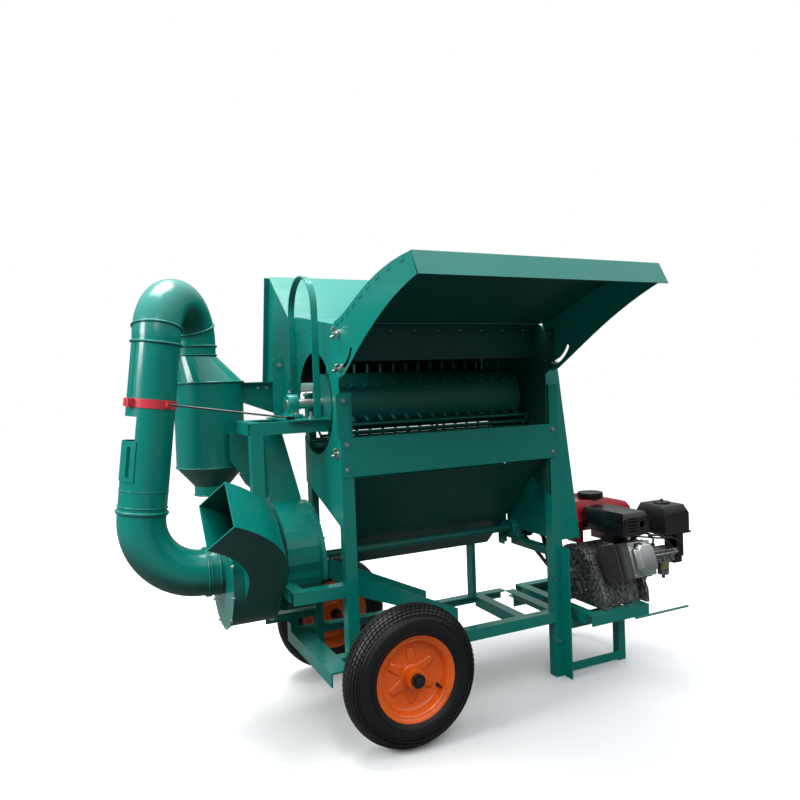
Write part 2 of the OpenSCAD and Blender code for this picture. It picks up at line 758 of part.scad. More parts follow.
module cyclone() {
    color(green) place() difference() {
        union() {
            translate([cyclone_x, collar_y, cyclone_low]) cylinder(h = cyclone_top - cyclone_low, r = cyclone_r);
            translate([cyclone_x, collar_y, cyclone_top - 4]) cylinder(h = 4, r = cyclone_r + 3);
            hull() {
                translate([cyclone_x, collar_y, cyclone_top]) cylinder(h = 0.5, r = cyclone_r, $fn = 32);
                translate([collar_x, collar_y, collar_z - 1]) cylinder(h = 0.5, r = pipe_r, $fn = 32);
            }
            translate([cyclone_x, collar_y, cyclone_low - 62]) cylinder(h = 62, r1 = 57, r2 = cyclone_r);
            translate([cyclone_x, collar_y, cyclone_low - 92]) cylinder(h = 30.01, r = 57);
        }
        translate([cyclone_x, collar_y, cyclone_low]) cylinder(h = cyclone_top - cyclone_low, r = cyclone_r - 2);
        hull() {
            translate([cyclone_x, collar_y, cyclone_top - 0.1]) cylinder(h = 0.5, r = cyclone_r - 3, $fn = 32);
            translate([collar_x, collar_y, collar_z]) cylinder(h = 1, r = pipe_r - 3, $fn = 32);
        }
        translate([cyclone_x, collar_y, cyclone_low - 62.1]) cylinder(h = 62.2, r1 = 54, r2 = cyclone_r - 3);
        translate([cyclone_x, collar_y, cyclone_low - 93]) cylinder(h = 32, r = 54);
    }
}

module clamp_band() {
    color([0.72, 0.1, 0.12]) leaning() translate([0, 0, band_z]) {
        rotate([0, 0, 216.4]) rotate_extrude(angle = 357.2) translate([pipe_r + 0.05, 0]) square([2.95, 26]);
        for (y = [-10, 1.5]) rotate([0, 0, 215]) translate([pipe_r + 1.5, y, 1]) cube([20.5, 8.5, 24]);
        rotate([0, 0, -60]) translate([pipe_r + 1.5, -5, 6]) cube([10.5, 10, 16]);
    }
}

// The stay is a plain round rod from the clamp band to the upper frame.
stay_reach = pipe_r + 15.3;
stay_a = [foot_x + (band_z + 14) * sin(pipe_lean) + stay_reach * cos(60) * cos(pipe_lean),
    fan_y - stay_reach * sin(60), foot_z + (band_z + 14) * cos(pipe_lean) - stay_reach * cos(60) * sin(pipe_lean)];
stay_b = [-120, drum_y - 110, shelf_z + 6];

module stay_rod() {
    d = stay_b - stay_a;
    l = norm(d);
    color(black) place() {
        translate(stay_a) rotate([0, acos(d[2] / l), atan2(d[1], d[0])]) cylinder(h = l, r = 3);
        translate([stay_b[0] - 9, stay_b[1] - 9, shelf_z]) cube([22, 18, 10]);
    }
}

module cyclone_arm() {
    x0 = cyclone_x + cyclone_r;
    color(green) place() difference() {
        union() {
            along_y(collar_y - 4, collar_y) polygon([[x0 + 0.3, 1030], [x0 + 0.3, 965], [-45, 916],
                [-23.2, 916], [-23.2, 990 - 0.2], [-23.2, 1030]]);
            translate([x0 + 0.3, collar_y - 30, 1030]) cube([-x0 - 0.3 - 23.4, 30, 3]);
        }
        for (x = [-118, -88]) rod_y(collar_y - 5, collar_y + 1, x, 1012, 5);
    }
}

// Lift fan: a scroll on the fan shaft with a duct that rises and turns into the cyclone.
// It stands on the carrier frame, so it is narrower below the top of the carrier bars.
lift_x0 = -140;
lift_low = -123.6;
lift_x1 = -38;
scroll_r = 153;
duct_top = 872;

module lift_profile(d) {
    polygon(concat(arc(fan_y, fan_z, scroll_r - d, -4, -178, 24),
        bezier([117 + d, 458], [92 + d, 540], [135 + d, 628 - d], [288 + d, 650 - d], 10),
        [[328 + d, duct_top - d], [420 - d, duct_top - d], [423 - d, 600]]));
}

module lift_outline(d) {
    polygon([[lift_low + d, 280], [lift_low + d, carrier_z + 0.2 + d], [lift_x0 + d, carrier_z + 0.2 + d],
        [lift_x0 + d, 900], [-83 - d, 900], [-83 - d, duct_top], [lift_x1 - d, 655], [lift_x1 - d, 280]]);
}

module lift_duct() {
    color(green) place() difference() {
        union() {
            intersection() {
                along_x(lift_x0, lift_x1) lift_profile(0);
                along_y(80, 460) lift_outline(0);
            }
            along_x(lift_x1, lift_x1 + 12) intersection() {
                polygon(arc(fan_y, fan_z, scroll_r + 32, 0, 360, 60));
                translate([0, carrier_z + 0.2]) square([600, 300]);
            }
            along_y(340, 418) polygon([[lift_x0 + 1, 650], [lift_x0 + 1, duct_top], [-250, duct_top],
                [-250, 785], [-190, 700]]);
        }
        intersection() {
            along_x(lift_x0 + 3, lift_x1 - 3) lift_profile(3);
            along_y(80, 460) lift_outline(3);
        }
        along_y(343, 415) polygon([[lift_x0 + 4, 657], [lift_x0 + 4, duct_top - 3], [-260, duct_top - 3],
            [-260, 788], [-187, 704]]);
        translate([cyclone_x, collar_y, 700]) cylinder(h = 300, r = cyclone_r + 0.3);
        rod_x(lift_x0 - 1, lift_x1 + 13, fan_y, fan_z, fan_shaft_r + 3);
    }
}

// Wheels

module rim(y) {
    w = 34;
    color([0.9, 0.3, 0.06]) place() translate([wheel_x, y, axle_z]) rotate([90, 0, 0]) rotate_extrude()
        polygon([[rim_r, -w - 3], [rim_r, -w], [106, -w + 1], [100, -20], [100, 20], [106, w - 1], [rim_r, w],
            [rim_r, w + 3], [103, w + 2], [96, 24], [94, 8], [70, -2], [40, 8], [28, 10], [28, 42],
            [axle_r + fit_gap, 42], [axle_r + fit_gap, -42], [28, -42], [28, 5], [40, 4], [70, -6],
            [94, 2], [96, -24], [103, -w - 2]]);
}

module tyre(y) {
    c = tyre_r - tyre_section_r;
    color(black) place() translate([wheel_x, y, axle_z]) rotate([90, 0, 0]) rotate_extrude() difference() {
        translate([c, 0]) circle(tyre_section_r);
        translate([c, 0]) circle(tyre_section_r - 8);
        translate([0, -60]) square([106.4, 120]);
        translate([0, 33.4]) square([rim_r + 0.4, 30]);
        translate([0, -63.4]) square([rim_r + 0.4, 30]);
    }
}

module near_rim() { rim(near_y); }

module far_rim() { rim(far_y); }

module near_tyre() { tyre(near_y); }

module far_tyre() { tyre(far_y); }

module axle() {
    color(steel) place() {
        rod_y(near_y - 62, far_y + 62, wheel_x, axle_z, axle_r);
        for (y = [near_y - 42.4, far_y + 54.4]) rod_y(y - 12, y, wheel_x, axle_z, 19);
        for (y = [near_y + 54.4, far_y - 42.4]) rod_y(y - 12, y, wheel_x, axle_z, 20);
    }
}

module frame_bolts() {
    color(steel) place() {
        for (x = [14, machine_l - 27]) hex_bolt_y(x, -sheet_t, apron_z + 96, 7, 5);
        hex_bolt_y(machine_l - 22, 0, 122, 7, 5);
        hex_bolt_y(7, -sheet_t, apron_z + apron_h + 110, 7, 5);
        hex_bolt_y(-90, drum_y + 88, shelf_z + 168, 8, 6);
        for (s = [-1, 1]) {
            translate([-80, drum_y + s * 49, drum_z - 42 + 13]) cylinder(h = 6, r = 8, $fn = 6);
            translate([machine_l - 16, fan_y + s * 41, carrier_z + 13]) cylinder(h = 6, r = 8, $fn = 6);
        }
        translate([-60, drum_y - 128, shelf_z]) cylinder(h = 9, r = 8, $fn = 6);
        translate([-60, drum_y - 128, shelf_z + 9]) cylinder(h = 12, r = 5);
        hex_bolt_x(wall_l, 22, 806, 8, 6);
    }
}

// Engine

module engine_base() {
    x0 = machine_l + weld_gap;
    xb = x0 + 34;
    x1 = engine_x + 185;
    near = crank_y - 165;
    mid = crank_y + 106;
    leg_x = engine_x + 146;
    color(green) place() {
        bar_x(xb, x1, near, base_z, 1, -1);
        bar_x(xb, x1, mid, base_z, -1, -1);
        bar_x(xb, x1, frame_d, base_z, -1, -1);
        bar_y(near + angle_w + weld_gap, mid - angle_w - weld_gap, xb, base_z, 1, -1);
        bar_y(near + angle_w + weld_gap, mid - angle_w - weld_gap, x1, base_z, -1, -1);
        bar_y(mid + weld_gap, frame_d - angle_w - weld_gap, x1, base_z, -1, -1);
        bar_y(mid + weld_gap, frame_d - angle_w - weld_gap, xb, base_z, 1, -1);
        for (y = [0, frame_d - angle_w]) bar_x(x0, leg_x + 30, y, base_z - angle_w - weld_gap, 1, -1);
        for (y = [4.2, frame_d - 31]) translate([leg_x, y, 0])
            linear_extrude(base_z - angle_w - angle_t - 2 * weld_gap) polygon(ell(30, 4, 1, 1));
        translate([machine_l - 27, 4.2, 6]) cube([leg_x - machine_l + 27 - weld_gap, 4, 28]);
        rod_x(x1 - 60, x1 + 185, near + 2, base_z - angle_w - 4.2, 4);
    }
}

module at_engine() {
    place() translate([engine_x, crank_y, crank_z]) children();
}

cyl_tilt = 18;
case_w = 204;

module crankcase() {
    color(alu) at_engine() difference() {
        union() {
            along_x(6, case_w) polygon([[-150, -crank_h], [88, -crank_h], [94, 0], [66, 66], [0, 94],
                [-52, 84], [-96, 40], [-146, -62]]);
            rotate([0, 90, 0]) cylinder(h = 14, r = 92);
            for (a = [0:40:320]) rotate([a, 0, 0]) translate([-5, 30, -3]) cube([6, 54, 6]);
            for (a = [20:40:340]) rotate([a, 0, 0]) translate([-6, 82, 0]) rotate([0, 90, 0])
                cylinder(h = 8, r = 6, $fn = 6);
        }
        rotate([0, 90, 0]) translate([0, 0, -20]) cylinder(h = 250, r = crank_r + fit_gap);
        rotate([180 - cyl_tilt, 0, 0]) translate([30, 84, -66]) cube([160, 90, 240]);
        translate([20, -88, -crank_h - 1]) cube([case_w - 34, 166, 30]);
    }
}

module cylinder_block() {
    color([0.3, 0.31, 0.31]) at_engine() rotate([180 - cyl_tilt, 0, 0]) {
        translate([60, 84.3, -50]) cube([100, 122, 100]);
        for (i = [0:8]) translate([44, 92 + i * 11, -62]) cube([130, 4, 124]);
        translate([52, 193, -58]) cube([116, 13.3, 116]);
    }
}

module valve_cover() {
    color([0.8, 0.81, 0.8]) at_engine() rotate([180 - cyl_tilt, 0, 0]) {
        hull() {
            translate([80, 206.6, -54]) cube([88, 12, 108]);
            translate([90, 206.6, -42]) cube([70, 36, 84]);
        }
    }
}

module fuel_tank() {
    color([0.55, 0.03, 0.06]) at_engine() {
        difference() {
            hull() {
                translate([14, 2, 170]) cube([256, 164, 26]);
                translate([22, 12, 170]) cube([150, 144, 67]);
                translate([22, 12, 170]) cube([236, 144, 46]);
            }
            translate([24, 14, 173]) cube([230, 140, 38]);
        }
        translate([8, -3, 166]) cube([268, 174, 4]);
        hull() {
            translate([20, 6, 132]) cube([240, 150, 1]);
            translate([12, 2, 165]) cube([258, 164, 1]);
        }
        translate([121, 44, 228]) cylinder(h = 12, r = 30);
        for (x = [40, 150]) translate([x, 20, 86]) cube([24, 60, 46]);
    }
}

module fuel_cap() {
    color(black) at_engine() translate([121, 44, 240.3]) difference() {
        cylinder(h = 18, r = 45);
        for (a = [0:30:330]) rotate([0, 0, a]) translate([46.5, 0, -1]) cylinder(h = 20, r = 3.5, $fn = 16);
    }
}

module muffler() {
    color(black) at_engine() {
        difference() {
            hull() {
                translate([36, -212, 148]) cube([110, 206, 56]);
                translate([44, -204, 148]) cube([94, 190, 76]);
            }
            translate([40, -208, 151]) cube([102, 198, 54]);
            rod_y(-214, -200, 118, 184, 11);
            for (z = [164:10:204]) translate([58, -214, z - 2]) cube([40, 8, 4]);
        }
        translate([50, -150, 113.8]) cube([60, 60, 34.2]);
    }
}

module air_cleaner() {
    color(black) at_engine() {
        hull() {
            translate([236, -198, 132]) cube([112, 136, 62]);
            translate([248, -186, 132]) cube([88, 112, 92]);
        }
        translate([232, -202, 126]) cube([120, 144, 6]);
        translate([310, -176, 40]) cube([32, 56, 86]);
        translate([302, -170, 18]) cube([38, 30, 22]);
        translate([292, -130, 224]) cylinder(h = 6, r = 27);
        translate([292, -130, 230]) cylinder(h = 9, r = 5);
    }
}

module carburettor() {
    color([0.6, 0.55, 0.4]) at_engine() {
        translate([206, -186, 34]) cube([82, 50, 44]);
        rod_x(174.3, 309.7, -162, 58, 15);
        translate([258, -162, -14]) cylinder(h = 50, r = 19);
        translate([258, -162, -28]) cylinder(h = 16, r = 6);
    }
}

module recoil_starter() {
    color(black) at_engine() difference() {
        union() {
            translate([case_w + 0.3, 0, 0]) rotate([0, 90, 0]) cylinder(h = 44, r = 104);
            translate([case_w + 44, 0, 0]) rotate([0, 90, 0]) cylinder(h = 20, r = 76);
            translate([case_w + 30, 40, 82]) cube([16, 44, 14]);
            translate([222, -60, 82]) cylinder(h = 22, r = 9);
            translate([222, -60, 82]) cylinder(h = 36, r = 4 - fit_gap);
        }
        translate([case_w - 1, 0, 0]) rotate([0, 90, 0]) cylinder(h = 42, r = 100);
    }
}

module crankshaft() {
    color(steel) at_engine() {
        rod_x(belt_x - engine_x - 14, case_w + 24, 0, 0, crank_r);
        translate([belt_x - engine_x, 0, 0]) v_pulley(engine_pulley_r, crank_r - 0.5, 24);
        translate([fan_belt_x - engine_x, 0, 0]) v_pulley(fan_drive_r, crank_r - 0.5, 24);
    }
}

// Spark lead: plug cap on the head, then a cable over the fins to the flywheel shroud.
lead_points = [[182.4, -190, 104], [186, -192, 118], [190, -176, 134], [192, -140, 132],
    [194, -90, 104], [190, -62, 80]];

module spark_lead() {
    color(black) at_engine() {
        translate([lead_points[0][0], -190, 92]) cylinder(h = 14, r = 8);
        for (i = [0:4]) hull() {
            translate(lead_points[i]) sphere(3.5, $fn = 8);
            translate(lead_points[i + 1]) sphere(3.5, $fn = 8);
        }
    }
}

module throttle_lever() {
    color(black) at_engine() translate([222, -60, 104.3]) difference() {
        union() {
            cylinder(h = 5, r = 10);
            translate([0, -5, 0]) cube([54, 10, 5]);
            translate([54, 0, 0]) cylinder(h = 12, r = 8);
        }
        translate([0, 0, -1]) cylinder(h = 8, r = 4);
    }
}

corner_posts();
chassis_rails();
outboard_frame();
bracket_plates();
hoop_guard();
left_end_wall();
right_end_wall();
front_apron();
top_cover();
rear_panel();
grain_pan();
grain_chute();
concave_grate();
threshing_drum();
drum_shaft();
drum_pulley();
bearing_blocks();
hood_sheet();
hood_sides();
hood_bolts();
feed_roof();
feed_wings();
feed_table();
feed_curtain();
belt_guard();
drive_belt();
fan_belt();
fan_housing();
fan_outlet();
fan_impeller();
fan_shaft();
fan_pulley();
suction_elbow();
suction_pipe();
top_elbow();
cyclone();
clamp_band();
stay_rod();
air_gate();
cyclone_arm();
lift_duct();
axle();
near_rim();
near_tyre();
far_rim();
far_tyre();
frame_bolts();
engine_base();
crankcase();
cylinder_block();
valve_cover();
fuel_tank();
fuel_cap();
muffler();
air_cleaner();
carburettor();
recoil_starter();
crankshaft();
spark_lead();
throttle_lever();
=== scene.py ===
# %% [markdown]
# # A grain thresher in Blender
#
# The machine's solid parts come ready made and stay as they are. This lesson gives them paint,
# rubber, cast metal and plastic, adds the small things that a factory adds last, such as bolts,
# wing nuts, beads and a tyre's tread, and sets up a camera and a soft studio.

# %% Load the solid machine
import json
import math

import bpy
from mathutils import Matrix, Vector


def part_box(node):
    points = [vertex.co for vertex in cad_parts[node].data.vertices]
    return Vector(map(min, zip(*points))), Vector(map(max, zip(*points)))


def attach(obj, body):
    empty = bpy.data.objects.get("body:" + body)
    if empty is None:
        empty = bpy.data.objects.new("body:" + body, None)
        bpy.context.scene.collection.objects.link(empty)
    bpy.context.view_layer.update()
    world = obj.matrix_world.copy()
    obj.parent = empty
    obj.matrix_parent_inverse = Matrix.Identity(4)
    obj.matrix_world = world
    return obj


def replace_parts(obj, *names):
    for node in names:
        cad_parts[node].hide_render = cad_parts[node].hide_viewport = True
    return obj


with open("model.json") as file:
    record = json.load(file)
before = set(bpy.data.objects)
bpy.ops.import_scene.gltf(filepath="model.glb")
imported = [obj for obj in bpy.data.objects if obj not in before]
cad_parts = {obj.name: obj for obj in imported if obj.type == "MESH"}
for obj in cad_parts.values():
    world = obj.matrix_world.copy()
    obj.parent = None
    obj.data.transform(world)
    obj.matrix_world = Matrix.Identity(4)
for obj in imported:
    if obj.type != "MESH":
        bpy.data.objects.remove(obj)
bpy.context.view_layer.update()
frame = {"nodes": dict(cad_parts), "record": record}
nodes = frame["nodes"]
print("solid parts:", len(nodes))

# %% [markdown]
# The machine was drawn from the front left corner post, in millimetres. The front apron starts at
# that corner, so its box tells where the corner lies, and every place below can be given in the
# same millimetres as on the drawing.

# %% The drawing's own corner
SHEET = 0.003
apron_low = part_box("front_apron")[0]
corner = Vector((apron_low[0], apron_low[1] + SHEET, 0))


def at(x, y, z):
    return corner + Vector((x, y, z)) / 1000


print("corner of the left post:", tuple(round(v, 4) for v in corner))

# %% [markdown]
# The camera stands a little to the left of the machine at chest height. Its turn and its focal
# length were worked out from the frame's square corners, so that the picture shows the machine from
# the same side and with the same perspective as the photograph.

# %% Camera
YAW, PITCH, ROLL = math.radians(25.618), math.radians(1.473), math.radians(-2.065)
FOCAL_PIXELS, FRAME_PIXELS = 702.21, 800
SENSOR_WIDTH, NEAREST = 36, 0.05
EYE = at(-719, -1901, 1016)


def axes(x, y, z):
    """The turn that takes the three axes to the directions x, y and z."""
    return Matrix((x, y, z)).transposed().to_4x4()


ahead = Vector((math.sin(YAW) * math.cos(PITCH), math.cos(YAW) * math.cos(PITCH), -math.sin(PITCH)))
level = Vector((math.cos(YAW), -math.sin(YAW), 0))
upward = level.cross(ahead)
right = level * math.cos(ROLL) + upward * math.sin(ROLL)
top = upward * math.cos(ROLL) - level * math.sin(ROLL)

bpy.ops.object.camera_add(location=EYE)
camera = bpy.context.object
camera.name = "camera"
camera.matrix_world = Matrix.Translation(EYE) @ axes(right, top, -ahead)
camera.data.sensor_width = SENSOR_WIDTH
camera.data.lens = SENSOR_WIDTH * FOCAL_PIXELS / FRAME_PIXELS
camera.data.clip_start = NEAREST
bpy.context.scene.camera = camera
print("lens, mm:", round(camera.data.lens, 2))

# %% [markdown]
# The floor is a plain pale sheet. A floor that pale would also throw much light up on the
# machine, whose undersides are deep in the photograph. So the Light Path node gives the camera
# the pale tone, and every other ray a dark one.

# %% Floor
FLOOR_SIZE, FLOOR_ROUGHNESS = 40, 0.6
FLOOR_SEEN, FLOOR_BOUNCE = (0.93, 0.94, 0.94, 1), (0.1, 0.11, 0.11, 1)


def add(tree, kind, **settings):
    node = tree.nodes.new("ShaderNode" + kind)
    for key, value in settings.items():
        setattr(node, key, value)
    return node


def fill(node, values):
    for label, value in values.items():
        node.inputs[label].default_value = value
    return node


bpy.ops.object.select_all(action="DESELECT")
bpy.ops.mesh.primitive_plane_add(size=FLOOR_SIZE, location=(0, 0, 0))
floor = bpy.context.object
floor.name = "floor"
floor_paint = bpy.data.materials.new("floor")
floor_paint.use_nodes = True
tree = floor_paint.node_tree
shader = fill(tree.nodes["Principled BSDF"], {"Roughness": FLOOR_ROUGHNESS})
ray = add(tree, "LightPath")
tone = fill(add(tree, "Mix", data_type="RGBA"), {"A": FLOOR_BOUNCE, "B": FLOOR_SEEN})
tree.links.new(ray.outputs["Is Camera Ray"], tone.inputs["Factor"])
tree.links.new(tone.outputs["Result"], shader.inputs["Base Color"])
floor.data.materials.append(floor_paint)
print("floor, m:", FLOOR_SIZE)

# %% [markdown]
# The room's own light is a pale sky that is bright overhead and weak at the horizon, as under a
# large ceiling lamp. The camera sees plain white in its place. The Standard view keeps that white
# white.

# %% The room's light
SKY_TINT, WHITE = (0.95, 0.98, 1, 1), (1, 1, 1, 1)
SKY_RAMP = {"From Min": 0.08, "From Max": 1.0, "To Min": 0.06, "To Max": 1.9}

room = bpy.data.worlds.new("studio")
room.use_nodes = True
tree = room.node_tree
sky = fill(tree.nodes["Background"], {"Color": SKY_TINT})
place = add(tree, "TexCoord")
split = add(tree, "SeparateXYZ")
height = fill(add(tree, "MapRange"), SKY_RAMP)
tree.links.new(place.outputs["Generated"], split.inputs[0])
tree.links.new(split.outputs["Z"], height.inputs["Value"])
tree.links.new(height.outputs["Result"], sky.inputs["Strength"])
backdrop = fill(add(tree, "Background"), {"Color": WHITE})
ray = add(tree, "LightPath")
either = add(tree, "MixShader")
tree.links.new(ray.outputs["Is Camera Ray"], either.inputs["Fac"])
tree.links.new(sky.outputs["Background"], either.inputs[1])
tree.links.new(backdrop.outputs["Background"], either.inputs[2])
tree.links.new(either.outputs["Shader"], tree.nodes["World Output"].inputs["Surface"])
bpy.context.scene.world = room
bpy.context.scene.view_settings.view_transform = "Standard"
print("sky strength:", SKY_RAMP["To Min"], "to", SKY_RAMP["To Max"])

# %% [markdown]
# A product is lit by large soft lamps. The main one hangs above and behind the machine, so that
# the tops shine and the faces towards us stay deeper. A weaker one stands at the left for the
# pipe's long highlight, and a faint one in front opens the shadows.

# %% Lamps
LAMPS = {  # place, size, watts, what it points at
    "top lamp": ((-0.6, 0.9, 3.6), 1.8, 135, (0, 0, 0.7)),
    "left lamp": ((-3.0, -0.4, 1.9), 0.9, 46, (-0.4, 0, 0.8)),
    "front lamp": ((-1.2, -3.6, 3.2), 1.4, 22, (0, 0, 0.6)),
}
for name, (place, size, power, aim) in LAMPS.items():
    bpy.ops.object.light_add(type="AREA", location=place)
    light = bpy.context.object
    light.name = name.replace(" ", "_")
    light.data.size = size
    light.data.energy = power
    light.rotation_euler = (Vector(aim) - Vector(place)).to_track_quat("-Z", "Y").to_euler()
print("lamps:", len(LAMPS))

# %% [markdown]
# Several finishes share the same faults: paint rubs off at edges, dust lies on what faces up, and
# sheet metal is never quite flat. Each fault is one node group with its own amount, used in many
# materials. A few helpers keep the building of groups short.

# %% Building node groups
def start_group(name, numbers, output):
    group = bpy.data.node_groups.new(name, "ShaderNodeTree")
    for label, value in numbers.items():
        socket = group.interface.new_socket(label, in_out="INPUT", socket_type="NodeSocketFloat")
        socket.default_value = value
    group.interface.new_socket(output, in_out="OUTPUT", socket_type="NodeSocketFloat")
    return group, group.nodes.new("NodeGroupInput"), group.nodes.new("NodeGroupOutput")


def feed(tree, socket, value):
    """Put a number on a socket, or link another node's output to it."""
    if isinstance(value, (int, float)):
        socket.default_value = value
    else:
        tree.links.new(value, socket)


def math_node(tree, operation, first, second, clamp=False):
    node = add(tree, "Math", operation=operation, use_clamp=clamp)
    feed(tree, node.inputs[0], first)
    feed(tree, node.inputs[1], second)
    return node.outputs[0]


def noise(tree, scale, detail):
    place = add(tree, "TexCoord")
    texture = fill(add(tree, "TexNoise"), {"Detail": detail})
    tree.links.new(place.outputs["Object"], texture.inputs["Vector"])
    feed(tree, texture.inputs["Scale"], scale)
    return texture.outputs["Fac"]


def ramp(tree, value, low, high):
    node = add(tree, "MapRange", interpolation_type="SMOOTHSTEP")
    tree.links.new(value, node.inputs["Value"])
    fill(node, {"From Min": low, "From Max": high})
    return node.outputs["Result"]


print("node groups so far:", len(bpy.data.node_groups))

# %% [markdown]
# Rubbed edges need a mask that is white only there. A Bevel node gives the normal that a rounded
# edge would have. It differs from the true normal only near an edge, and a broken noise lets the
# paint come off in spots.

# %% Edge wear
def finish_mask(group, source, sink, where, broken):
    """Mask = where x broken x Amount, kept between 0 and 1."""
    both = math_node(group, "MULTIPLY", where, broken)
    mask = math_node(group, "MULTIPLY", both, source.outputs["Amount"], True)
    group.links.new(mask, sink.inputs["Mask"])


edge_wear, source, sink = start_group("edge wear", {"Amount": 0.5, "Width": 0.0025}, "Mask")
rounded = add(edge_wear, "Bevel", samples=4)
edge_wear.links.new(source.outputs["Width"], rounded.inputs["Radius"])
plain = add(edge_wear, "NewGeometry")
alike = add(edge_wear, "VectorMath", operation="DOT_PRODUCT")
edge_wear.links.new(rounded.outputs["Normal"], alike.inputs[0])
edge_wear.links.new(plain.outputs["Normal"], alike.inputs[1])
edge = ramp(edge_wear, math_node(edge_wear, "SUBTRACT", 1.0, alike.outputs["Value"]), 0.02, 0.12)
rubbed = ramp(edge_wear, noise(edge_wear, 38.0, 6.0), 0.5, 0.66)
finish_mask(edge_wear, source, sink, edge, rubbed)
print("made:", edge_wear.name)

# %% [markdown]
# Dust settles on what faces up, which is the Z part of the normal, and lies in patches. A fifth of
# it clings to the other sides too.

# %% Dust on upper faces
CLINGS = 0.2


def upward_part(group):
    facing = add(group, "NewGeometry")
    split = add(group, "SeparateXYZ")
    group.links.new(facing.outputs["Normal"], split.inputs[0])
    return split.outputs["Z"]


dust, source, sink = start_group("dust", {"Amount": 0.3, "Scale": 9.0}, "Mask")
level_part = ramp(dust, upward_part(dust), 0.1, 0.95)
patches = ramp(dust, noise(dust, source.outputs["Scale"], 7.0), 0.38, 0.72)
every_side = math_node(dust, "ADD", math_node(dust, "MULTIPLY", level_part, 1 - CLINGS), CLINGS)
finish_mask(dust, source, sink, patches, every_side)
print("made:", dust.name)

# %% [markdown]
# Undersides are darkened with painted shade, so they look deeper than the rest. The same Z part,
# turned round, masks them. Lift moves the limit up, so that upright faces get painted shade as
# well.

# %% Painted shade on undersides
PAINTED_SHADE_LEAST, PAINTED_SHADE_MORE = 0.8, 0.35
# Painted shade: a mask on faces that point down, made uneven by a noise, darkens the colour there.
painted_shade, source, sink = start_group("grime below", {"Amount": 0.8, "Lift": 0.0}, "Mask")
downward = math_node(painted_shade, "SUBTRACT", source.outputs["Lift"], upward_part(painted_shade))
below = ramp(painted_shade, downward, 0.02, 0.45)
drift = math_node(painted_shade, "MULTIPLY", noise(painted_shade, 3.5, 5.0), PAINTED_SHADE_MORE)
finish_mask(painted_shade, source, sink, below, math_node(painted_shade, "ADD", drift, PAINTED_SHADE_LEAST))
print("made:", painted_shade.name)

# %% [markdown]
# Thin sheet has long shallow waves from rolling and welding, and paint dries with a fine orange
# peel on top. Cast metal has a fine grain. Both give a height, for a Bump node in the material.

# %% Uneven sheet and cast grain
PEEL_SHARE = 0.012
uneven, source, sink = start_group("uneven sheet", {"Waves": 4.0, "Peel": 260.0}, "Height")
waves = noise(uneven, source.outputs["Waves"], 1.0)
peel = math_node(uneven, "MULTIPLY", noise(uneven, source.outputs["Peel"], 1.0), PEEL_SHARE)
uneven.links.new(math_node(uneven, "ADD", waves, peel), sink.inputs["Height"])

grain, source, sink = start_group("cast grain", {"Scale": 420.0}, "Height")
grain.links.new(noise(grain, source.outputs["Scale"], 3.0), sink.inputs["Height"])
print("node groups:", [group.name for group in bpy.data.node_groups])

# %% [markdown]
# No surface has one flat colour or gloss. The colour moves between two shades and the roughness
# between two values, each by its own noise. A fault, and likewise the painted shade, is then laid
# over both where its mask says.

# %% Shades, patches and faults
ROUGH_SPREAD = 0.08


def varied(tree, color, roughness, shade_spread):
    shades = fill(add(tree, "Mix", data_type="RGBA"),
                  {"A": (*[c * (1 - shade_spread) for c in color], 1),
                   "B": (*[min(1, c * (1 + shade_spread)) for c in color], 1)})
    tree.links.new(noise(tree, 5.0, 5.0), shades.inputs["Factor"])
    rough = fill(add(tree, "MapRange"), {"To Min": max(0.02, roughness - ROUGH_SPREAD),
                                         "To Max": min(1.0, roughness + ROUGH_SPREAD)})
    tree.links.new(noise(tree, 21.0, 6.0), rough.inputs["Value"])
    return shades.outputs["Result"], rough.outputs["Result"]


def overlay(tree, look, group, values, tone, roughness):
    """Lay a fault's tone and roughness, and likewise the painted shade's, over look, a pair of
    colour and roughness outputs.
    """
    mask = fill(add(tree, "Group", node_tree=group), values)
    laid = []
    for kind, under, over in zip(("RGBA", "FLOAT"), look, ((*tone, 1), roughness)):
        mix = add(tree, "Mix", data_type=kind)
        tree.links.new(mask.outputs["Mask"], mix.inputs["Factor"])
        tree.links.new(under, mix.inputs["A"])
        mix.inputs["B"].default_value = over
        laid.append(mix.outputs["Result"])
    return laid


print("roughness moves by:", ROUGH_SPREAD)

# %% [markdown]
# A finish is a Principled shader with the shared faults and the painted shade plugged in. Sheet
# parts are enamelled: a deep green coat with a thin clear gloss over it. The same recipe with other
# numbers gives the orange rims, the red tank and the black muffler, and leaving out the coat gives
# castings, plastics and rubber.

# %% One recipe for every finish
# DEEP_SHARE is the share of its colour that painted shade keeps.
DUST_TONE, DEEP_SHARE, COAT_ROUGHNESS = (0.34, 0.32, 0.27), 0.16, 0.08
PAINTED_SHADE_ROUGHNESS, BARE_ROUGHNESS, DUST_ROUGHNESS = 0.55, 0.5, 0.85


